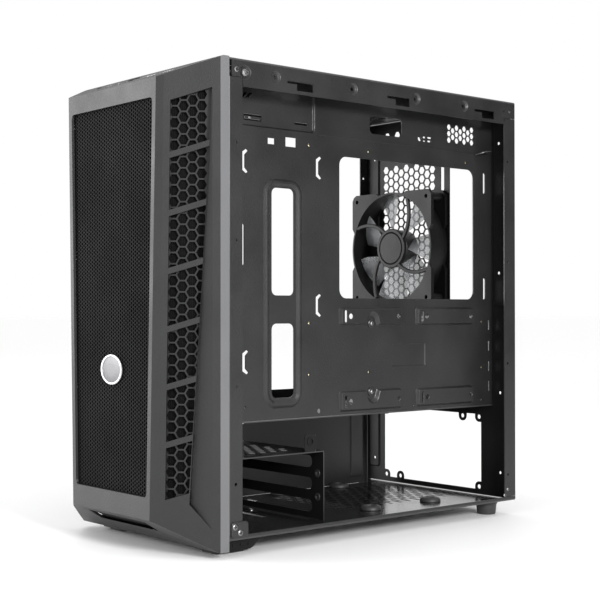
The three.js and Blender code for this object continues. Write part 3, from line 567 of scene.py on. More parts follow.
def floor_pan():
    """The floor with its vent, side lips and corner tabs."""
    x0, y0, z0, x1, y1, z1 = span("base_pan")
    fold = 1.8
    pan = Solid()
    flat = rectangle(x0 + fold, y0, x1 - fold, y1)
    holes = vent_slots(-62, 24, 50, 184, 15, 3.2, 19, 6.2)
    holes += [circle(x, y, 1.7, 12) for x in (-92, 92) for y in (-60, 20, 100, 168)]
    holes += [rounded(-30, -60, 30, -52, 4), rounded(-70, -8, -50, 0, 4)]
    presses = [pressed_rectangle(-68, -46, 68, -16, 5, -0.8)]
    pan.add(sheet(flat, holes, presses), on_floor(z0 + SHEET), FLOOR_FINISH)
    side = Solid()
    side.add(*bend(x1, z0, fold, y0, y1, False))
    side.add(sheet(rectangle(y0, z0 + fold, y1, z1)), facing_side(x1))
    tab = rounded(y0 + 2.6, z0 + 2.3, y0 + 20, z0 + 15.4, 3)
    side.add(sheet(tab, thickness=0.9, presses=[pressed_rectangle(
        y0 + 3, z0 + 2.7, y0 + 19.6, z0 + 15, 2.6, 0.35, 0.5)]), facing_side(x1 + 1.1))
    for y, z in ((y0 + 6.4, z0 + 11.3), (y0 + 11.8, z0 + 6.2)):
        side.add(screw_head(2.9, 1.2), standing(x1 + 0.6, y, z, "X"), BRIGHT_SCREW)
    for y, z in ((y1 - 11.5, z0 + 11.5), (y1 - 16, z0 + 6)):
        side.add(screw_head(1.7, 0.8), standing(x1 - 0.1, y, z, "X"), BRIGHT_SCREW)
    return pan.both_sides(side)


def front_wall():
    """The wall behind the front panel, with two fan openings and side flanges."""
    x0, y0, z0, x1, y1, _ = span("front_frame")
    fans = [span(f"front_fan_{i}_frame") for i in (1, 2)]
    middles = [(f[2] + f[5]) / 2 for f in fans]
    fold = 2.0
    wall = Solid()
    holes = []
    for z in middles:
        holes.append(circle(0, z, FAN_OPENING, 48))
        holes += [circle(x, z + dz, 2.3, 12) for x, dz in FAN_CORNERS]
    holes += vent_slots(-85, 40, -66, 370, 16, 4, 40, 12)
    holes += vent_slots(67, 40, 86, 370, 16, 4, 40, 12)
    holes += honeycomb(-56, 312, 56, 372, CELL, CELL_HOLE)
    wall.add(sheet(rectangle(x0 + fold, WALL_LOW, x1 - fold, WALL_HIGH), holes),
             facing_front(y0))
    side = Solid()
    corner = arc(x1 - fold, y0 + fold, fold, -90, 0, 6)
    corner += arc(x1 - fold, y0 + fold, fold - SHEET, 0, -90, 6)
    low, high = z0 + FLANGE_START, z0 + FRONT_FLANGE
    side.add(sheet(corner, thickness=high - low), on_floor(high))
    side.add(sheet(rectangle(y0 + fold, low, y1, high),
                   [circle(y0 + 8, z, 1.4, 12) for z in (60, 140, 260, 340)]),
             facing_side(x1))
    return wall.both_sides(side)


def supply_cutout(x0, z0, x1, z1):
    """The power supply's opening, with round screw ears that reach into it. Gives the
    outline and the screw holes."""
    ear = 5.2
    cx, cz = (x0 + x1) / 2, (z0 + z1) / 2
    right, left, top, bottom = cx + 67.5, cx - 67.5, cz + 35.5, cz - 35.5
    upper, lower = cx + 45, cx - 46
    outline = [(x0, bottom + ear), *arc(left, bottom, ear, 90, 0, 6), (left + ear, z0)]
    outline += [(lower - ear, z0), *arc(lower, bottom, ear, 180, 0, 8), (lower + ear, z0)]
    outline += [(right - ear, z0), *arc(right, bottom, ear, 180, 90, 6), (x1, bottom + ear)]
    outline += [(x1, top - ear), *arc(right, top, ear, 270, 180, 6), (right - ear, z1)]
    outline += [(upper + ear, z1), *arc(upper, top, ear, 0, -180, 8), (upper - ear, z1)]
    outline += [(left + ear, z1), *arc(left, top, ear, 0, -90, 6), (x0, top - ear)]
    spots = [(left, bottom), (right, bottom), (right, top), (left, top),
             (upper, top), (lower, bottom)]
    return outline, [circle(x, z, 2.3, 14) for x, z in spots]


def rear_wall():
    """The rear wall: power supply opening, connector opening, slots, vent and flanges."""
    x0, y0, z0, x1, y1, _ = span("rear_panel")
    tray = span("motherboard_tray")[0]
    plane = y1 - 5.5
    opening, spots = supply_cutout(-76.2, 20.5, 64.8, 97)
    covers = [span(f"slot_cover_{i}") for i in range(1, 5)]
    heights = [(c[2] + c[5]) / 2 for c in covers]
    holes = [opening, *spots, rectangle(tray - 57.45, 206, tray - 13, 364.75)]
    holes += [rectangle(tray - 113, z - 6.5, tray - 13, z + 6.5) for z in heights]
    holes += honeycomb(-78, 209, 1, 364, CELL, CELL_HOLE, lambda x, z: z > 214)
    holes += [rounded(9, z, 14, z + 30, 2.2, 3) for z in (216, 254, 292, 328)]
    holes += honeycomb(-76, 118, -52, 196, CELL, 7.4)
    holes += honeycomb(-76, 372, -4, 400, CELL, CELL_HOLE)
    holes += [rounded(4, 372, 62, 399, 4, 5)]
    holes += [rounded(67.2, z, 73.8, z + 34, 2, 3) for z in (210, 316)]
    holes += [circle(x, z, 1.6, 12) for x in (-90, 90) for z in (40, 120, 240, 370)]
    presses = [pressed_rectangle(x, low, x + 16, high, 4, 1.6)
               for x, low, high in ((-99, 206, 396), (83, 206, 396), (-99, 30, 196))]
    wall = Solid()
    # Painted shade: the wall sheet takes the darker cage coat.
    wall.add(sheet(rectangle(x0 + 1.2, WALL_LOW, x1 - 1.2, WALL_HIGH), holes, presses),
             facing_front(plane), PAINTED_SHADE_FINISH)
    side = Solid()
    low, high = z0 + FLANGE_START, z0 + REAR_FLANGE
    side.add(sheet(rectangle(y0, low, y1, high),
                   [circle(y0 + 5, z, 1.3, 12) for z in (40, 150, 250, 350)]),
             facing_side(x1))
    side.add(sheet(rounded(x1 - 3.5, y1 - 1, x1 - 0.3, y1 - 0.05, 0.4), thickness=high - low),
             on_floor(high))
    return wall.both_sides(side)


def rail(y0, y1, z0, z1):
    """One side rail of the top, drawn on y and z, with its hooks and dished holes."""
    step = y0 + 15.2
    outline = [(step, z0), (y1 - 16, z0), (y1 - 15, z0 + 6), (y1, z0 + 6), (y1, z1),
               (y0 + 3.6, z1), (y0 + 3.6, z0 + 8.5), (y0 + 4.6, z0 + 7.5), (step, z0 + 7.5)]
    hooks = []
    for y in RAIL_HOOKS:
        hooks.append([(y, 395.3), (y + 10.6, 395.3), (y + 10.6, 390), (y + 28.8, 390),
                      (y + 28.8, 397.8), (y, 397.8)])
    holes = hooks + [circle(y, DISH_HEIGHT, 1.7, 14) for y in RAIL_DISHES]
    holes += [circle(y1 - 16, 399.8, 1.1, 10)]
    presses = [pressed_circle(y, DISH_HEIGHT, 5.4, -1.7, 1.8) for y in RAIL_DISHES]
    presses.append(pressed_circle(-137.4, 398.9, 6.0, -1.6, 1.6))
    return sheet(outline, holes, presses)


def top_cover():
    """The top with its sunk vent, folded rails, hooks and screws."""
    x0, y0, z0, x1, y1, z1 = span("top_panel")
    fx0, fy0, _, fx1, fy1, _ = span("top_filter")
    fold = 2.0
    gap = 0.6
    well = pressed_rectangle(fx0 - gap, fy0 - gap, fx1 + gap, fy1 + gap, 6, -3.4, 1.0)
    holes = honeycomb(fx0 + 8, fy0 + 8, fx1 - 8, fy1 - 8, 11, 9.2)
    cover = Solid()
    flat = rectangle(x0 + fold, y0, x1 - fold, y1)
    cover.add(sheet(flat, holes, [well]), on_floor(z1))
    side = Solid()
    side.add(*bend(x1, z1, fold, y0, y1, True))
    side.add(rail(y0, y1, z0, z1 - fold), facing_side(x1))
    for y, z, radius in ((-146.6, 400.4, 2.9), (-137.4, 398.9, 3.2)):
        side.add(screw_head(radius, 1.7), standing(x1 - 0.9, y, z, "X"), BRIGHT_SCREW)
    side.add(turned([(2.2, 0), (4.2, 0), (4.6, 0.5), (4.2, 0.9), (2.2, 0.9)], 24),
             standing(x1 - 0.4, -146.6, 400.4, "X"))
    side.add(turned([(0, 0), (1.5, 0), (1.3, 0.5), (0, 0.7)], 14),
             standing(x1 - 0.1, y1 - 7.5, 399.8, "X"), BRIGHT_SCREW)
    return cover.both_sides(side)


def notched_pad(y0, z0, y1, z1, notch_y, notch, from_top):
    """Contours of a raised drive pad with a round notch in one long side."""
    def outline(inset):
        a0, b0, a1, b1 = y0 + inset, z0 + inset, y1 - inset, z1 - inset
        r = max(3.2 - inset, 0.6)
        reach = notch + inset
        lift, flare = 3.4, reach + 1.4
        low_left = arc(a0 + r, b0 + r, r, 180, 270, 4)
        low_right = arc(a1 - r, b0 + r, r, -90, 0, 4)
        top_right = arc(a1 - r, b1 - r, r, 0, 90, 4)
        top_left = arc(a0 + r, b1 - r, r, 90, 180, 4)
        if from_top:
            return (low_right + top_right + [(notch_y + flare, b1)]
                    + arc(notch_y, b1 - lift, reach, 0, -180, 10) + [(notch_y - flare, b1)]
                    + top_left + low_left)
        return (low_left + [(notch_y - flare, b0)]
                + arc(notch_y, b0 + lift, reach, 180, 0, 10) + [(notch_y + flare, b0)]
                + low_right + top_right + top_left)
    return pressed(outline, 3.0, 2.0)


def tie_slot(y, z0, z1, width=3.2, hook=4.6):
    """A cable tie slot: a tall slot with a short hook at each end."""
    return [(y, z0 + 3), (y + hook, z0), (y + hook + 2, z0 + 1.6), (y + width, z0 + 5),
            (y + width, z1 - 5), (y + hook + 2, z1 - 1.6), (y + hook, z1), (y, z1 - 3)]


def tray():
    """The board tray: openings, drive pads, cable tie slots and stand-off holes."""
    _, y0, z0, x1, y1, z1 = span("motherboard_tray")
    posts = [span(f"standoff_{i}") for i in range(1, 10)]
    holes = [rounded(y1 - 206.95, 213.5, y1 - 28.05, 342, 8, 8),
             rounded(-89.3, 215.5, -64.3, 308.8, 5, 6), rounded(-89.3, 126.5, -64.3, 191, 5, 6),
             rounded(27.4, 366, 68.9, 383, 4, 5)]
    holes += [circle((p[1] + p[4]) / 2, (p[2] + p[5]) / 2, 1.4, 14) for p in posts]
    holes += [rectangle(-118.6, 364.8, -99.2, 370.2), rounded(-62.2, 366, -46.9, 368, 0.9, 3),
              rectangle(-93.5, 346.2, -85.9, 351.4), rectangle(-73.7, 345.6, -61.6, 353.7)]
    holes += [tie_slot(y, z, z + 21) for y, z in
              ((-121.7, 319), (-38.5, 319), (-38.8, 196.4), (-121.1, 148))]
    holes += [rounded(-122.4, 241, -119.4, 276, 1.4, 3), rounded(183, 319.7, 186, 340.2, 1.4, 3),
              rounded(183, 213.6, 186, 234.7, 1.4, 3)]
    holes += [rounded(190.2, z - 5.2, 191.8, z + 5.2, 0.7, 3) for z in (187.7, 167, 146.7, 126.7)]
    holes += [circle(93, 367, 2.5, 14), rounded(97.4, 364.6, 101, 366.4, 0.8, 2),
              rounded(97.4, 367.8, 101, 369.6, 0.8, 2), rounded(103.5, 364.6, 109, 366.2, 0.7, 2),
              rounded(103.5, 368, 109, 369.6, 0.7, 2), circle(179, 113.7, 1.5, 12),
              circle(-35, 113, 2.2, 12), circle(-118, 120, 1.2, 10), circle(84, 112.6, 1.0, 10)]
    holes += honeycomb(131, 366.6, 173.6, 384.8, 6.3, 5.2)
    rear_pads = ((86.7, 188.3, 167, 205.6), (87.2, 110.8, 166.5, 128.7))
    presses = [bead(-98.5, 117.6, -55.5, 316.6, 13, 2.0, 6.4),
               pressed_rectangle(y0 + 2, 359.6, -39.8, 405, 4, -1.7, 1.6),
               pressed_rectangle(55.6, 149.9, 100.2, 171.1, 1.2, -0.9, 0.8),
               notched_pad(-11.4, 188.6, 67.6, 205.6, PAD_NOTCH, 5.6, False),
               notched_pad(-11.4, 110.6, 67.6, 129.8, PAD_NOTCH, 5.6, True)]
    presses += [pressed_rectangle(*pad, 3.2, 3.0, 2.0) for pad in rear_pads]
    for a, b, z in ((-5.0, 61.7, 197.2), (-5.0, 61.7, 119.6), (93.4, 161.7, 197.0),
                    (94.0, 161.7, 119.8)):
        holes += [rounded(a - 1.5, z - 5.6, a + 1.5, z + 5.6, 1.3, 3),
                  circle(a + 6.2, z, 2.6, 16), circle(b, z, 2.2, 16)]
    made = Solid()
    made.add(sheet(rectangle(y0, z0, y1, z1), holes, presses), facing_side(x1))
    made.add(block(x1 - 0.3, -36, 358.6, x1 + 0.45, y1 - 2, 359.5, 0.2))
    made.add(block(x1 - 3.6, -117.4, 366.2, x1 - 2.0, -99.4, 368.7, 0.4))
    made.add(block(x1 - 2.9, -113.4, 366.4, x1 - 1.2, -110.4, 368.4, 0.4), None, BRIGHT_SCREW)
    for z in (190.4, 127.4):
        y = PAD_NOTCH
        made.add(turned([(1.3, 0), (4.2, 0), (4.2, 1.0), (3.4, 1.5), (1.9, 1.5), (1.3, 1.0)], 24),
                 standing(x1 - 0.2, y, z, "X"))
        made.add(screw_head(2.2, 1.2), standing(x1 + 0.6, y, z, "X"), BRIGHT_SCREW)
    # The comb of the front vent under the rail, and a small tie hook by the rear.
    for i in range(COMB_TEETH):
        y = y0 + 3 + COMB_PITCH * i
        made.add(loft(*[[(x, y, COMB_LOW), (x, y + 1.7, COMB_LOW), (x, y + 5.2, COMB_HIGH),
                         (x, y + 3.5, COMB_HIGH)] for x in (x1 - 1.5, x1 + 2.4)]))
    made.add(sweep([(x1, 172, 357.5), (x1 + 4, 174, 358.6), (x1 + 7, 179, 360.6),
                    (x1 + 7.4, 185, 361.4)], 4.6, 1.2), None, PAINTED_EDGE_HIGHLIGHT)
    return made


def supply_bay():
    """The cover over the power supply bay, with its far wall."""
    x0, y0, z0, x1, y1, z1 = span("power_supply_shroud")
    wall_end = y1 - 22
    bay = Solid()
    holes = honeycomb(-40, 40, 48, 150, 9, 7.4)
    holes += [rounded(-70, -40, 40, -28, 5), rounded(58, 20, 70, 90, 5)]
    presses = [pressed_rectangle(-62, -130, 60, -60, 6, -1.2)]
    bay.add(sheet(rectangle(x0, y0, x1, y1), holes, presses), on_floor(z1))
    bay.add(sheet(rectangle(-100, z1 - 0.5, 150, z1 + 13.4)), facing_side(x0 + SHEET))
    # The wall is drawn facing the cable side.
    presses = [pressed_rectangle(wall_end - 22, 22, wall_end - 4, 100, 2, 1.4, 1.0)]
    bay.add(sheet(rectangle(y0, z0, wall_end, z1 - SHEET),
                  [rounded(-30, 88, 10, 98, 4)], presses), facing_side(x0 + SHEET))
    bay.add(block(x0 + 0.2, wall_end - 0.4, z0, x0 + 5, wall_end + 0.8, z1 - SHEET, 0.35),
            None, 1)
    return bay


def drive_rack():
    """The drive cage: two slotted walls and a roof, with ears on top."""
    x0, y0, z0, x1, y1, z1 = span("drive_cage")
    middle = (z0 + z1) / 2
    rack = Solid()
    for plane in (y0, y1 - SHEET):
        holes = [rounded(x0 + 15.5, middle + step - 5.5, x1 - 15.5, middle + step + 5.5, 5, 6)
                 for step in (-20, 0, 20)]
        holes += [circle(x, middle + step, 2.0, 14) for x in (x0 + 8, x1 - 8)
                  for step in (-11, 10)]
        rack.add(sheet(rectangle(x0, z0, x1, z1 - SHEET), holes), facing_front(plane))
        for step in (-11, 10):
            rack.add(turned([(2.0, 0), (3.6, 0), (3.4, 0.7), (2.0, 0.7)], 18),
                     standing(x1 - 8, plane + 0.1, middle + step, "-Y"), 1)
    holes = honeycomb(x0 + 12, y0 + 12, x1 - 12, y1 - 12, 12, 9)
    rack.add(sheet(rectangle(x0, y0, x1, y1), holes), on_floor(z1))
    for plane in (y0, y1 - SHEET):
        rack.add(block(x1 - 0.5, plane, z0, x1 + 0.2, plane + SHEET, z1 - SHEET, 0.2), None, 1)
    for y in (y0 + 6, y1 - 22):
        ear = rounded(y, z1 - 0.6, y + 12.4, z1 + 16, 3, 5)
        rack.add(sheet(ear, [circle(y + 6.2, z1 + 9, 2.6, 18)]), facing_side(x1 - 0.4))
        rack.add(turned([(2.6, 0), (4.0, 0), (3.8, 0.8), (2.6, 0.8)], 20),
                 standing(x1 - 0.5, y + 6.2, z1 + 9, "X"))
        rack.add(block(x1 - 5.4, y + 11.8, z1 - 0.3, x1 - 0.4, y + 12.7, z1 + 15, 0.3), None, 1)
    for y in (y0 + 20, y1 - 20):
        for x in (x0 - 4, x0 + 70):
            rack.add(block(x, y - 5, z0, x + 9, y + 5, z0 + SHEET, 0.3))
            rack.add(screw_head(3, 1.8), standing(x + 4.5, y, z0 + SHEET), 2)
    return rack


def board_posts():
    """Hexagonal brass stand-offs with threaded holes."""
    for i in range(1, 10):
        node = f"standoff_{i}"
        x0, y0, z0, x1, y1, z1 = span(node)
        y, z, length = (y0 + y1) / 2, (z0 + z1) / 2, x1 - x0
        post = Solid().add(sheet(arc(0, 0, 2.9, 0, 300, 5), [circle(0, 0, 1.6, 20)], [],
                                 length - 0.5), standing(x1 - length + 0.25, y, z, "-X"))
        collar = [(1.5, 0), (2.3, 0), (2.3, length), (1.5, length)]
        post.add(turned(collar, 20), standing(x1, y, z, "-X"))
        for k in range(8):
            thread = [(1.35, 0.1), (1.55, 0), (1.55, 0.5), (1.35, 0.4)]
            post.add(turned(thread, 16), standing(x1 - 0.5 - 0.6 * k, y, z, "-X"))
        fit(f"brass_post_{i}", post.mesh(f"brass_post_{i}", 25), ("brass",), "chassis",
            "brass", node)


def slot_plates():
    """Vented expansion slot covers with their screws, and the bracket behind them."""
    for i in range(1, 5):
        node = f"slot_cover_{i}"
        x0, y0, z0, x1, y1, z1 = span(node)
        face = y1 - SHEET
        holes = [rounded(x, z0 + 5.4, x + 12, z1 - 5.4, 2.4, 4)
                 for x in (x0 + 10 + 15 * k for k in range(6))]
        ridge = [pressed_rectangle(x0 + 5, z0 + 2.6, x1 - 5, z1 - 2.6, 3, -0.6, 0.9)]
        plate = Solid().add(sheet(rounded(x0 + 0.4, z0, x1, z1, 1.2, 3), holes, ridge),
                            facing_front(face))
        ear = rounded(y0, z0, y1 - 0.2, z1, 1.5, 4)
        notch = [circle(y0 + 4.6, (z0 + z1) / 2, 2.0, 14)]
        plate.add(sheet(ear, notch), facing_side(x0 + SHEET))
        plate.add(screw_head(3.1, 1.9), standing(x0 - 0.1, y0 + 4.6, (z0 + z1) / 2, "-X"),
                  SCREW_FINISH)
        fit(f"vented_slot_plate_{i}", plate, STEEL,
            "chassis", "chassis_steel", node)
    x0, y0, z0, x1, y1, z1 = span("slot_retainer")
    keeper = Solid()
    keeper.add(sheet(rounded(x0, z0, x1 - 0.6, z1, 1.5, 4),
                     [circle((x0 + x1) / 2 - 2, z, 1.6, 12) for z in (z0 + 8, z1 - 8)]),
               facing_front(y1 - SHEET))
    keeper.add(sheet(rounded(y0, z0, y1, z1, 2, 4)), facing_side(x1))
    for z in (z0 + 8, z1 - 8):
        keeper.add(screw_head(2.9, 1.7), standing((x0 + x1) / 2 - 2, y1 - 0.9, z, "-Y"),
                   SCREW_FINISH)
    fit("slot_bracket", keeper, STEEL, "chassis",
        "chassis_steel", "slot_retainer")


def steel_piece(name, solid, *nodes):
    fit(name, solid, STEEL, "chassis", "chassis_steel", *nodes)


# ------------------------------------------------------------------ filters, feet and pads

def lattice(x0, y0, x1, y1, pitch, hole, thickness):
    """A flat net of hexagon holes inside a rectangle, drawn on u and v."""
    return sheet(rectangle(x0, y0, x1, y1), honeycomb(x0 + 0.8, y0 + 0.8, x1 - 0.8, y1 - 0.8,
                                                      pitch, hole), thickness=thickness)


def framed_filter(node, name, body, pitch, tab):
    """A dust filter: a net in a moulded frame with cross bars."""
    x0, y0, z0, x1, y1, z1 = span(node)
    low = z0
    if tab:
        z0 = z1 - 2.6
    border = 6.0
    middle = (z0 + z1) / 2
    solid = Solid()
    solid.add(lattice(x0 + border - 1, y0 + border - 1, x1 - border + 1, y1 - border + 1,
                      pitch, pitch * 0.8, 0.6), on_floor(middle + 0.3), 1)
    frame_edge = rounded(x0, y0, x1, y1, 2 if tab else 6, 5)
    window = rounded(x0 + border, y0 + border, x1 - border, y1 - border, 3, 4)
    solid.add(sheet(frame_edge, [window], [], z1 - z0 - 0.4), on_floor(z1 - 0.2), 0)
    solid.add(sheet(rounded(x0 + 0.6, y0 + 0.6, x1 - 0.6, y1 - 0.6, 1.6 if tab else 5, 5),
                    [rounded(x0 + border - 0.5, y0 + border - 0.5, x1 - border + 0.5,
                             y1 - border + 0.5, 3, 4)], [], z1 - z0), on_floor(z1), 0)
    for i in (1, 2):
        y = y0 + (y1 - y0) * i / 3
        solid.add(block(x0 + 2, y - 1.6, z0 + 0.3, x1 - 2, y + 1.6, z1 - 0.25, 0.5))
    solid.add(block((x0 + x1) / 2 - 1.6, y0 + 2, z0 + 0.35, (x0 + x1) / 2 + 1.6, y1 - 2,
                    z1 - 0.3, 0.5))
    if tab:
        half = 16
        cx = (x0 + x1) / 2
        solid.add(block(cx - half, y1 - 5.2, low, cx + half, y1, z1 - 0.2, 1.0))
        for k in range(5):
            solid.add(block(cx - 10, y1 - 4.9, low + 0.1, cx + 10, y1 - 4.5 + 0.9 * k,
                            low + 0.5, 0.15))
    fit(name, solid, ("plastic", "mesh"), body, "dark_plastic", node)


def filters_and_runners():
    """Top and bottom dust filters, and the runners under the floor."""
    framed_filter("top_filter", "top_dust_filter", "top_filter", 3.6, False)
    framed_filter("bottom_filter", "bottom_dust_filter", "bottom_filter", 3.4, True)
    for side in ("left", "right"):
        node = f"filter_runner_{side}"
        x0, y0, z0, x1, y1, z1 = span(node)
        left = side == "left"
        wall = (x0, x0 + 2) if left else (x1 - 2, x1)
        runner = Solid()
        runner.add(block(x0, y0, z0, x1, y1, z0 + 1.4, 0.35))
        runner.add(block(wall[0], y0, z0, wall[1], y1, z1, 0.35))
        for k in range(7):
            y = y0 + 8 + k * (y1 - y0 - 16) / 6
            ribs = (x0 - 3, x0 + 0.5) if left else (x1 - 0.5, x1 + 3)
            runner.add(block(ribs[0], y - 0.8, z1 - 2.6, ribs[1], y + 0.8, z1, 0.3))
        fit(f"runner_{side}", runner, ("plastic",), "chassis",
            "dark_plastic", node)


def feet_and_pads():
    """Rear feet, front skids with their pads, and the power supply's pads."""
    for side in ("left", "right"):
        x0, y0, z0, x1, y1, z1 = span(f"rear_foot_{side}")
        r, h = (x1 - x0) / 2, z1 - z0
        profile = [(0, 1.2), (r * 0.36, 1.2), (r * 0.4, 0.4), (r * 0.72, 0), (r * 0.8, 0.25),
                   (r * 0.84, 1.2), (r * 0.92, h - 4), (r * 0.97, h - 3.4), (r, h - 2.8),
                   (r, h - 0.5), (r * 0.97, h), (0, h)]
        foot = Solid().add(turned(profile, 48), standing((x0 + x1) / 2, (y0 + y1) / 2, z0))
        fit(f"round_foot_{side}", foot, ("rubber_shine",),
            "chassis", "rubber", f"rear_foot_{side}")
        x0, y0, z0, x1, y1, z1 = span(f"front_foot_{side}")
        taper = 4.0

        def level(inset, z, corner=3.0):
            loop = rounded(x0 + inset, y0, x1 - inset, y1 - 3 * inset, corner, 4)
            return [(x, y, z) for x, y in loop]
        skid = Solid().add(loft(level(taper, z0), level(taper * 0.86, z0 + 1.0),
                                level(taper * 0.12, z1 - 1.2), level(0, z1)))
        for k in range(4):
            y = y0 + 7 + 8 * k
            skid.add(block(x0 + 1.6, y, z0 + 3.5, x1 - 1.6, y + 1.4, z1 - 1.6, 0.4))
        fit(f"skid_{side}", skid, ("plastic",), "chassis",
            "dark_plastic", f"front_foot_{side}")
        x0, y0, z0, x1, y1, z1 = span(f"front_foot_pad_{side}")
        pad = Solid().add(sheet(rounded(x0, y0, x1, y1, 4, 6),
                                [], [pressed_rectangle(x0 + 0.3, y0 + 0.3, x1 - 0.3, y1 - 0.3,
                                                       3.8, 0.5, 0.8)], 1.5),
                          on_floor(z1 - 0.5))
        fit(f"skid_pad_{side}", pad, ("rubber",), "chassis",
            "rubber", f"front_foot_pad_{side}")
    for i in range(1, 5):
        node = f"supply_pad_{i}"
        x0, y0, z0, x1, y1, z1 = span(node)
        r, h = (x1 - x0) / 2, z1 - z0
        profile = [(0, 0), (r, 0), (r, h * 0.3), (r * 0.95, h * 0.62), (r * 0.8, h * 0.93),
                   (r * 0.62, h), (r * 0.5, h * 0.95), (r * 0.4, h * 0.55), (r * 0.16, h * 0.5),
                   (r * 0.12, h * 0.3), (0, h * 0.3)]
        pad = Solid().add(turned(profile, 40), standing((x0 + x1) / 2, (y0 + y1) / 2, z0))
        fit(f"round_pad_{i}", pad, ("rubber_shine",), "chassis",
            "rubber", node)


# ------------------------------------------------------------------ fans

HUB_PLATE = (21.0, 3.5)  # radius and depth
FAN_BORE = 58.0
FAN_FLANGE = 4.0  # thickness of the frame's two square flanges
STRUTS, STRUT_SWEEP = 4, 35  # number, and how far each sweeps back in degrees
BLADES, BLADE_ROOT, BLADE_REACH = 7, 19.0, 37.2  # number, inner radius and length
BLADE_SECTIONS, BLADE_STEPS = 10, 9
ROTOR_RADIUS = 20.0


def corner_outline(half, corner_reach):
    """A circle with four screw corners."""
    points = []
    for angle in range(0, 360, 3):
        turn = math.radians(angle)
        reach = half
        if abs(angle % 90 - 45) <= 26:
            reach = min(half / max(abs(math.cos(turn)), abs(math.sin(turn))), corner_reach)
        points.append((reach * math.cos(turn), reach * math.sin(turn)))
    return points


def fan_place(node, from_front):
    """Where a fan's drawing stands: its hub plate is at w = 0."""
    x0, y0, z0, x1, y1, z1 = span(node)
    axis, y = ("-Y", y1) if from_front else ("Y", y0)
    return standing((x0 + x1) / 2, y, (z0 + z1) / 2, axis), y1 - y0


def fan_frame(node, name, from_front):
    """Square-cornered frame, round duct, hub plate and four swept struts."""
    place, depth = fan_place(node, from_front)
    flange = FAN_FLANGE
    outline = corner_outline(59.8, 81.5)
    holes = [circle(0, 0, FAN_BORE, 72)] + [circle(a, b, 2.2, 16) for a, b in FAN_CORNERS]
    made = Solid()
    for top in (flange, depth):
        made.add(sheet(outline, holes, [], flange), place @ on_floor(top))
    duct = [(FAN_BORE + 0.1, 0.2), (59.6, 0.2), (59.6, depth - 0.2), (FAN_BORE + 0.1, depth - 0.2)]
    made.add(turned(duct, 72), place)
    for a, b in FAN_CORNERS:
        post = [(2.25, flange - 0.2), (4.2, flange - 0.2), (4.2, depth - flange + 0.2),
                (2.25, depth - flange + 0.2)]
        made.add(turned(post, 20), place @ standing(a, b, 0))
    radius, plate = HUB_PLATE
    hub = [(0, 0), (radius - 0.6, 0), (radius, 0.6), (radius, plate - 0.3),
           (radius - 0.5, plate), (0, plate)]
    made.add(turned(hub, 48), place)
    rim = [(radius - 5, -0.0), (radius - 3.5, -0.0), (radius - 3.5, 0.2), (radius - 5, 0.2)]
    made.add(turned(rim, 48), place)
    for k in range(STRUTS):
        path = []
        for i in range(9):
            share = i / 8
            turn = math.radians(-31 - STRUT_SWEEP * share + 90 * k)
            reach = radius - 1.5 + (FAN_BORE + 1 - radius) * share
            path.append((reach * math.cos(turn), reach * math.sin(turn), 1.7))
        made.add(sweep(path, 4.0, 3.0), place)
    fit(name, made, ("plastic", "plastic"), "chassis", "dark_plastic", node)


def blade_solid(turn, foot, top):
    """One swept and twisted blade, lofted from the hub to its tip."""
    sections = []
    for i in range(BLADE_SECTIONS):
        share = i / (BLADE_SECTIONS - 1)
        radius = BLADE_ROOT + BLADE_REACH * share
        lead = 0.17 + 0.2 * share + 0.07 * math.sin(math.pi * share)
        chord = 0.64 - 0.02 * share
        low, high = foot + 2.3 + 2 * share, top - 2.8
        run = Vector((radius * chord, low - high)).normalized()
        normal = Vector((-run.y, run.x))
        lower, upper = [], []
        for k in range(BLADE_STEPS):
            t = k / (BLADE_STEPS - 1)
            along = (lead - chord * (1 - t)) * radius
            rise = high + (low - high) * t - 1.1 * math.sin(math.pi * t)
            half = 0.25 + 0.55 * math.sin(math.pi * t) ** 0.6
            for side, way in ((lower, -1), (upper, 1)):
                spot = Vector((along, rise)) + normal * (half * way)
                angle = spot.x / radius + turn
                side.append((radius * math.cos(angle), radius * math.sin(angle), spot.y))
        sections.append(lower + upper[::-1])
    return loft(*sections)


def fan_rotor(node, name, frame_node, body, from_front):
    """Dark cup with seven frosted blades."""
    place, depth = fan_place(frame_node, from_front)
    foot, top = 4.7, depth - 2.3
    radius = ROTOR_RADIUS
    cup = [(0, foot), (radius - 0.5, foot), (radius, foot + 0.6), (radius, top - 1.6),
           (radius - 0.5, top - 0.5), (radius - 1.6, top), (15.2, top), (14.8, top - 0.5),
           (0, top - 0.5)]
    made = Solid().add(turned(cup, 56), place, 0)
    for k in range(BLADES):
        turn = 2 * math.pi * (k + 0.9) / BLADES
        made.add(blade_solid(turn, foot, top), place, 1)
    fit(name, made, ("hub", "blade"), body, "blade_plastic", node)


FANS = (("rear_fan", "rear", "rear_rotor", False),
        ("front_fan_1", "lower", "front_rotor_1", True),
        ("front_fan_2", "upper", "front_rotor_2", True))


# ------------------------------------------------------------------ front panel

SLOPE = (41.0, 17.0)  # depth and drop of the sloped control strip
FACE_HALF = (61.0, 70.0)  # half width of the flat face, bottom and top
CHIN, SHOULDER = 30.5, 393.0
CORNER = 6  # width of the bevel between the face and a cheek
CHEEK_FRONT, CHEEK_EDGE, CHEEK_RUN = -198.65, 107.0, 34.4  # front y, outer x and depth
CHIN_SLOPE = ((-202.25, 30.5), (-155.35, 6.0))  # the underside, as y and z
# The rim finish of the side band is a painted highlight.
PAINTED_HIGHLIGHT_START = 106 * MM  # from here outwards a side face belongs to the bright rim
FLAT_AREA = 6 * MM * MM  # faces over this size are flat
USB_PLACES, JACK_PLACES, LIGHT_PLACE = (30, 56), (-34, -18), -65
COMB_LOW_END, COMB_HIGH_END = 47, 388.5  # lower and upper end of the cheek meshes
CHEEK_CELL, CHEEK_HOLE = 9.2, 7.9


def face_half(z):
    return FACE_HALF[0] + (FACE_HALF[1] - FACE_HALF[0]) * (z - CHIN) / (SHOULDER - CHIN)


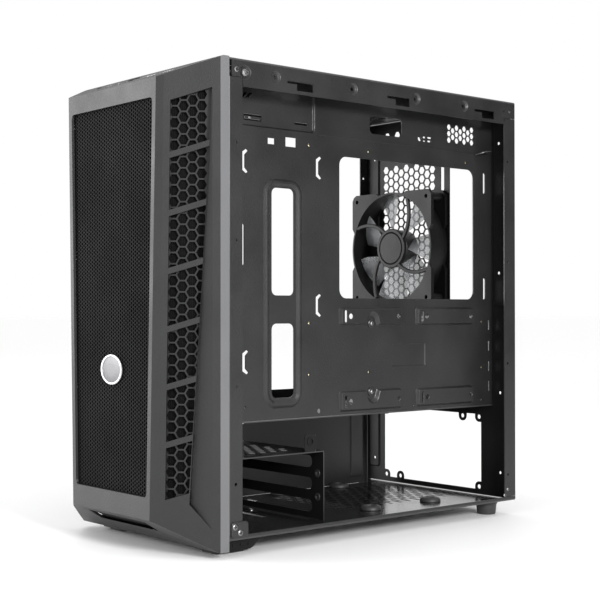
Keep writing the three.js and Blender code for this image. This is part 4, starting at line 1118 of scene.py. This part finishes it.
def on_slope(x):
    y0, z1 = MESH_LOW.y / MM, MESH_HIGH.z / MM
    return (Matrix.Translation((x, y0 + SLOPE[0] / 2, z1 - SLOPE[1] / 2))
            @ Matrix.Rotation(math.atan2(SLOPE[1], SLOPE[0]), 4, "X"))


def on_cheek(side):
    """Puts a drawing on the slanted side of the panel: u is the share of the way back
    in percent, v is the height and w points outwards."""
    def place(p):
        x0 = face_half(p.y) + CORNER
        across = CHEEK_EDGE - x0
        length = math.hypot(across, CHEEK_RUN)
        share = p.x / 100
        x = x0 + across * share + p.z * CHEEK_RUN / length
        y = CHEEK_FRONT + CHEEK_RUN * share - p.z * across / length
        return Vector((side * x, y, p.y))
    return place


def under_chin(x, share, depth):
    """A point on the sloped underside: share of the way back, depth into the panel."""
    (y0, z0), (y1, z1) = CHIN_SLOPE
    length = math.hypot(y1 - y0, z1 - z0)
    return (x, y0 + (y1 - y0) * share - (z1 - z0) * depth / length,
            z0 + (z1 - z0) * share + (y1 - y0) * depth / length)


def intake_box(x0, x1, front, back, low, high):
    return hull([under_chin(x, share, depth) for x in (x0, x1) for share in (front, back)
                 for depth in (low, high)])


def baked(piece):
    """The piece's mesh with its modifiers applied."""
    depsgraph = bpy.context.evaluated_depsgraph_get()
    mesh = bpy.data.meshes.new_from_object(piece.evaluated_get(depsgraph))
    piece.modifiers.clear()
    piece.data = mesh
    return mesh


def combine(piece, solid, operation):
    tool = bpy.data.objects.new("tool", solid.mesh("tool"))
    bpy.context.scene.collection.objects.link(tool)
    join = piece.modifiers.new(operation, "BOOLEAN")
    join.operation = operation
    join.solver = "EXACT"
    join.object = tool
    baked(piece)
    bpy.data.objects.remove(tool)


def panel_shell():
    """The moulded shell with its sunk side facets and bottom intake, edges rounded."""
    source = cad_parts["front_bezel"]
    shape = bmesh.new()
    shape.from_mesh(source.data)
    bmesh.ops.remove_doubles(shape, verts=shape.verts[:], dist=2e-6)
    mesh = bpy.data.meshes.new("moulded_shell")
    shape.to_mesh(mesh)
    shape.free()
    mesh.materials.clear()
    piece = fit("moulded_shell", mesh, ("panel", "rim"), "front_panel",
                "panel_plastic", "front_bezel")
    cheek = on_cheek(1)
    backing = Solid().add(hull([cheek(Vector((u, v, w))) for w in (-2, -7) for u, v in
                                ((51, 45), (88, 25), (90, 387), (86.6, 387))])).mirrored()
    combine(piece, backing, "UNION")
    facet = Solid().add(hull([cheek(Vector(p)) for p in
                              ((86.5, 386, 0.05), (50.5, 44.7, -4.2), (50.5, 44.7, 3),
                               (86.5, 386, 3), (88.5, 24, 0.05), (88.5, 24, 3))])).mirrored()
    combine(piece, facet, "DIFFERENCE")
    combine(piece, Solid().add(intake_box(-44, 46, 0.12, 0.7, -2, 5)), "DIFFERENCE")
    shape = bmesh.new()
    shape.from_mesh(piece.data)
    bmesh.ops.remove_doubles(shape, verts=shape.verts[:], dist=5e-6)
    bmesh.ops.dissolve_limit(shape, angle_limit=math.radians(0.8), verts=shape.verts[:],
                             edges=shape.edges[:])
    shape.to_mesh(piece.data)
    shape.free()
    rounding = piece.modifiers.new("edges", "BEVEL")
    rounding.width = 0.6 * MM
    rounding.segments = 2
    rounding.limit_method = "ANGLE"
    rounding.angle_limit = math.radians(8)
    rounding.harden_normals = True
    finished = baked(piece)
    finished.shade_smooth()
    finished.set_sharp_from_angle(angle=math.radians(30))
    for face in finished.polygons:
        # Faces of the side band get the rim finish, a painted highlight.
        painted_highlight_face = abs(face.center.x) > PAINTED_HIGHLIGHT_START and abs(face.normal.x) > 0.95
        face.material_index = 1 if painted_highlight_face else 0
        if face.area > FLAT_AREA:
            face.use_smooth = False
    grille = Solid()
    grille.add(intake_box(-54, 54, 0.06, 0.8, 2.9, 4.4), None, 1)
    for k in range(9):
        x = -42 + 10 * k
        path = [under_chin(x + 6 * t, 0.09 + 0.62 * t, 2.1) for t in (0, 0.5, 1)]
        grille.add(sweep(path, 3.0, 3.2))
    fit("intake_grille", grille, ("panel", "screen"),
        "front_panel", "panel_plastic")


def panel_meshes():
    """Fine perforated front, and honeycomb with a dust screen in each cheek."""
    x0, y0, z0, x1, y1, z1 = span("front_mesh")
    margin = face_half(z1) - x1
    outline = [(margin - face_half(z0), z0), (face_half(z0) - margin, z0),
               (face_half(z1) - margin, z1), (margin - face_half(z1), z1)]
    holes = honeycomb(x0 + 1.5, z0 + 1.5, x1 - 1.5, z1 - 1.5, 3.3, 2.3,
                      lambda x, z: abs(x) < face_half(z) - margin - 2.4)
    front = Solid().add(sheet(outline, holes), facing_front(y0))
    front.add(sheet(outline, thickness=0.4), facing_front(y1 + 0.8), 1)
    fit("front_grille", front, ("mesh", "front_screen"), "front_panel",
        "mesh_steel", "front_mesh")
    for side, name in ((-1, "left"), (1, "right")):
        low, high = COMB_LOW_END, COMB_HIGH_END
        comb = Solid()
        cells = [[(u / 0.5, v) for u, v in hole] for hole in
                 honeycomb(4.6, low + 1, 42.2, high - 1, CHEEK_CELL, CHEEK_HOLE)]
        comb.add(sheet(rectangle(8.2, low, 86, high), cells, [], 3.0),
                 lambda p, place=on_cheek(side): place(Vector((p.x, p.y, p.z - 5.2))), 0)
        comb.add(sheet(rectangle(8.4, low + 0.5, 85.6, high - 0.5), [], [], 0.4),
                 lambda p, place=on_cheek(side): place(Vector((p.x, p.y, p.z - 8.6))), 1)
        if side < 0:
            comb.faces = [list(reversed(f)) for f in comb.faces]
        fit(f"cheek_comb_{name}", comb,
            ("comb", "screen"), "front_panel", "mesh_steel", f"side_mesh_{name}")


def badge():
    """A plain oval badge with a raised rim."""
    x0, y0, z0, x1, y1, z1 = span("front_badge")
    place = (standing((x0 + x1) / 2, y1, (z0 + z1) / 2, "-Y")
             @ Matrix.Diagonal(((x1 - x0) / 2, (z1 - z0) / 2, y1 - y0, 1)))
    rim = [(0.83, 0.1), (0.99, 0.1), (1, 0.3), (1, 0.65), (0.975, 0.9), (0.93, 1), (0.87, 0.9),
           (0.84, 0.6)]
    face = [(0, 0), (0.96, 0), (0.96, 0.3), (0.83, 0.5), (0.4, 0.62), (0, 0.66)]
    plate = Solid().add(turned(rim, 72), place, 0).add(turned(face, 72), place, 1)
    fit("oval_badge", plate, ("badge", "badge_face"),
        "front_panel", "badge_metal", "front_badge")


def round_button(node, name, x, radius, stem, proud):
    profile = [(0, -6.5), (stem, -6.5), (stem, -2), (radius, -2), (radius, proud - 0.5),
               (radius - 0.2, proud - 0.15), (radius - 0.7, proud), (0.72 * radius, proud),
               (0.6 * radius, proud - 0.3), (0, proud - 0.5)]
    made = Solid().add(turned(profile, 48), on_slope(x))
    fit(name, made, ("panel",), node, "panel_plastic", node)


def sockets():
    """Two USB sockets, two audio jacks and the light pipe."""
    for i, x in enumerate(USB_PLACES, 1):
        shell = Solid()
        shell.add(sheet(rounded(-7.2, -3.5, 7.2, 3.5, 0.8, 3),
                        [rounded(-6.6, -2.9, 6.6, 2.9, 0.5, 3)], [], 12), on_slope(x), 0)
        shell.add(block(-6.5, -2.8, -12, 6.5, 2.8, -10.5, 0.2), on_slope(x), 1)
        shell.add(block(-5.9, 0.5, -11, 5.9, 2.4, -1.2, 0.3), on_slope(x), 1)
        for k in range(4):
            cx = -3.9 + 2.6 * k
            shell.add(block(cx - 0.5, 0.2, -9, cx + 0.5, 0.6, -1.8, 0.1), on_slope(x), 2)
        fit(f"usb_socket_{i}", shell,
            ("port", "port_core", "brass"), "front_panel", "port_steel",
            f"usb_port_{i}")
    for i, x in enumerate(JACK_PLACES, 1):
        jack = Solid()
        jack.add(turned([(0, -11), (4.15, -11), (4.15, -0.5), (3.6, 0), (1.85, 0),
                         (1.85, -9), (0, -9)], 40), on_slope(x), 0)
        jack.add(turned([(1.8, -0.6), (2.5, -0.6), (2.5, 0.0), (1.8, 0.0)], 32),
                 on_slope(x), 1)
        fit(f"jack_{i}", jack, ("hub", "port"), "front_panel",
            "dark_plastic", f"audio_jack_{i}")
    pipe = Solid().add(turned([(0, -5), (1.45, -5), (1.45, -0.3), (1.1, -0.05), (0, 0)], 24),
                       on_slope(LIGHT_PLACE))
    fit("light_pipe_tip", pipe, ("lamp",), "front_panel", "lamp",
        "power_led")


# ------------------------------------------------------------------ studio

FLOOR_SIZE = 80.0  # metres, as all sizes of the stage
CAMERA_PLACE = (0.9321, -0.77805, 0.2013)
CAMERA_TURN = (90.531, 0.03, 49.772)  # degrees


def show(thing, place, target):
    """Puts a light or a card at a place, turned to a target and unseen by the camera."""
    thing.location = place
    thing.rotation_euler = (Vector(target) - Vector(place)).to_track_quat("-Z", "Y").to_euler()
    thing.visible_camera = False
    bpy.context.scene.collection.objects.link(thing)


def flat_mesh(name, width, height, colour, roughness):
    """A plain rectangle about the origin, with its finish."""
    mesh = bpy.data.meshes.new(name)
    corners = [(x, y, 0) for x, y in rectangle(-width / 2, -height / 2, width / 2, height / 2)]
    mesh.from_pydata(corners, [], [(0, 1, 2, 3)])
    mesh.materials.append(Finish(name, Base_Color=(*colour, 1), Roughness=roughness).material)
    return mesh


def lamp(name, place, target, size, power):
    data = bpy.data.lights.new(name, "AREA")
    data.shape = "DISK"
    data.size = size
    data.energy = power
    made = bpy.data.objects.new(name, data)
    show(made, place, target)


def dark_card(name, place, target, width, height):
    """A black card that keeps light off one side. The camera doesn't see it."""
    mesh = flat_mesh(name, width, height, (0.003, 0.003, 0.003), 0.9)
    card = bpy.data.objects.new(name, mesh)
    show(card, place, target)


def studio(tower):
    """Floor, soft light and the camera."""
    floor = flat_mesh("studio_floor", FLOOR_SIZE, FLOOR_SIZE, tower.studio.floor_colour, 0.6)
    piece = bpy.data.objects.new("studio_floor", floor)
    bpy.context.scene.collection.objects.link(piece)

    world = bpy.data.worlds.new("studio_light")
    world.use_nodes = True
    backdrop = world.node_tree.nodes["Background"]
    backdrop.inputs["Color"].default_value = (1, 1, 1, 1)
    backdrop.inputs["Strength"].default_value = tower.studio.sky
    bpy.context.scene.world = world

    power = tower.studio.lamp_power
    lamp("side_light", (1.5, -0.35, 0.6), (0.08, -0.1, 0.25), 0.35, 0.5 * power)
    lamp("front_light", (-2.4, -2.3, 0.6), (0, -0.2, 0.2), 2.2, 2.0 * power)

    dark_card("rear_card", (1.25, 2.2, 0.75), (0, 0, 0.3), 2.6, 2.2)

    data = bpy.data.cameras.new("camera")
    data.lens = tower.studio.lens
    data.sensor_width = 36
    camera = bpy.data.objects.new("camera", data)
    camera.location = CAMERA_PLACE
    camera.rotation_euler = [math.radians(a) for a in CAMERA_TURN]
    bpy.context.scene.collection.objects.link(camera)
    bpy.context.scene.camera = camera
    bpy.context.scene.view_settings.view_transform = "Standard"


# ------------------------------------------------------------------ settings

class ChassisSettings(bpy.types.PropertyGroup):
    steel_colour: FloatVectorProperty(
        name="Steel colour", description="Powder coat of the chassis", subtype="COLOR",
        size=3, min=0, max=1, default=(0.014, 0.014, 0.0145))
    cage_colour: FloatVectorProperty(
        name="Cage colour", description="Powder coat of the drive cage", subtype="COLOR",
        size=3, min=0, max=1, default=(0.009, 0.009, 0.0095))
    grain: FloatProperty(
        name="Grain", description="Size of a grain in the powder coat", unit="LENGTH",
        subtype="DISTANCE", min=0.0002, max=0.01, default=0.0012)


class PanelSettings(bpy.types.PropertyGroup):
    plastic_colour: FloatVectorProperty(
        name="Panel colour", description="Moulded front panel", subtype="COLOR", size=3,
        min=0, max=1, default=(0.013, 0.0131, 0.0136))
    mesh_colour: FloatVectorProperty(
        name="Mesh colour", description="Perforated front sheet", subtype="COLOR", size=3,
        min=0, max=1, default=(0.006, 0.006, 0.0062))


class FanSettings(bpy.types.PropertyGroup):
    blade_colour: FloatVectorProperty(
        name="Blade colour", description="Frosted fan blades", subtype="COLOR", size=3,
        min=0, max=1, default=(0.3, 0.31, 0.32))
    blade_opacity: FloatProperty(
        name="Blade opacity", description="How little of what is behind a blade shows",
        subtype="FACTOR", min=0, max=1, default=0.5)


class StudioSettings(bpy.types.PropertyGroup):
    floor_colour: FloatVectorProperty(
        name="Floor colour", description="Pale studio floor", subtype="COLOR", size=3, min=0,
        max=1, default=(0.98, 0.98, 0.98))
    sky: FloatProperty(
        name="Sky", description="Strength of the even light all round", subtype="FACTOR",
        min=0, max=5, default=1.0)
    lamp_power: FloatProperty(
        name="Lamp power", description="Power of the main soft light", unit="POWER", min=0,
        max=1000, default=45)
    lens: FloatProperty(
        name="Lens", description="Focal length of the camera", unit="CAMERA", min=10,
        max=400, default=76.12)


class TowerSettings(bpy.types.PropertyGroup):
    chassis: PointerProperty(name="Chassis", type=ChassisSettings)
    panel: PointerProperty(name="Front panel", type=PanelSettings)
    fans: PointerProperty(name="Fans", type=FanSettings)
    studio: PointerProperty(name="Studio", type=StudioSettings)


# ------------------------------------------------------------------ operators

class TOWER_OT_finishes(bpy.types.Operator):
    """Makes every finish from the settings"""
    bl_idname = "tower.finishes"
    bl_label = "Finishes"

    def execute(self, context):
        make_finishes(context.scene.tower)
        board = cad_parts["control_board"]
        board.data.materials.clear()
        board.data.materials.append(FINISHES["board"])
        return {"FINISHED"}


class TOWER_OT_chassis(bpy.types.Operator):
    """Builds the floor, walls, top, tray, supply bay and drive cage"""
    bl_idname = "tower.chassis"
    bl_label = "Chassis"

    def execute(self, context):
        steel_piece("floor_pan", floor_pan(), "base_pan")
        steel_piece("front_wall", front_wall(), "front_frame")
        steel_piece("rear_wall", rear_wall(), "rear_panel")
        steel_piece("top_cover", top_cover(), "top_panel")
        steel_piece("board_tray", tray(), "motherboard_tray")
        steel_piece("supply_bay", supply_bay(), "power_supply_shroud")
        rack = drive_rack()
        fit("drive_rack", rack, ("cage", "cage_edge", "screw"),
            "chassis", "cage_steel", "drive_cage")
        return {"FINISHED"}


class TOWER_OT_fittings(bpy.types.Operator):
    """Builds the stand-offs, slot covers, filters, feet and pads"""
    bl_idname = "tower.fittings"
    bl_label = "Fittings"

    def execute(self, context):
        board_posts()
        slot_plates()
        filters_and_runners()
        feet_and_pads()
        return {"FINISHED"}


class TOWER_OT_fans(bpy.types.Operator):
    """Builds the rear fan and the two front fans"""
    bl_idname = "tower.fans"
    bl_label = "Fans"

    def execute(self, context):
        for node, name, body, from_front in FANS:
            fan_frame(f"{node}_frame", f"{name}_fan_duct", from_front)
            fan_rotor(f"{node}_rotor", f"{name}_fan_wheel", f"{node}_frame", body, from_front)
        return {"FINISHED"}


class TOWER_OT_front_panel(bpy.types.Operator):
    """Builds the moulded shell, its meshes and the badge"""
    bl_idname = "tower.front_panel"
    bl_label = "Front panel"

    def execute(self, context):
        panel_shell()
        panel_meshes()
        badge()
        return {"FINISHED"}


class TOWER_OT_controls(bpy.types.Operator):
    """Builds the buttons, sockets and light pipe"""
    bl_idname = "tower.controls"
    bl_label = "Controls"

    def execute(self, context):
        round_button("power_button", "power_key", 4, 6.5, 2.5, 1.0)
        round_button("reset_button", "reset_key", -52, 3.0, 1.5, 0.6)
        sockets()
        return {"FINISHED"}


class TOWER_OT_studio(bpy.types.Operator):
    """Adds the floor, the lights and the camera"""
    bl_idname = "tower.studio"
    bl_label = "Studio"

    def execute(self, context):
        studio(context.scene.tower)
        return {"FINISHED"}


OPERATORS = (TOWER_OT_finishes, TOWER_OT_chassis, TOWER_OT_fittings, TOWER_OT_fans,
             TOWER_OT_front_panel, TOWER_OT_controls, TOWER_OT_studio)


class TOWER_PT_panel(bpy.types.Panel):
    bl_label = "Tower"
    bl_idname = "TOWER_PT_panel"
    bl_space_type = "VIEW_3D"
    bl_region_type = "UI"
    bl_category = "Tower"

    def draw(self, context):
        tower = context.scene.tower
        for group in (tower.chassis, tower.panel, tower.fans, tower.studio):
            column = self.layout.column()
            for key in group.__annotations__:
                column.prop(group, key)
        for operator in OPERATORS:
            self.layout.operator(operator.bl_idname)


CLASSES = (ChassisSettings, PanelSettings, FanSettings, StudioSettings, TowerSettings,
           *OPERATORS, TOWER_PT_panel)


def register():
    for cls in CLASSES:
        bpy.utils.register_class(cls)
    bpy.types.Scene.tower = PointerProperty(name="Tower", type=TowerSettings)


def unregister():
    del bpy.types.Scene.tower
    for cls in reversed(CLASSES):
        bpy.utils.unregister_class(cls)


def main():
    register()
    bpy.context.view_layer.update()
    for operator in OPERATORS:
        group, name = operator.bl_idname.split(".")
        getattr(getattr(bpy.ops, group), name)()


if __name__ == "__main__":
    main()
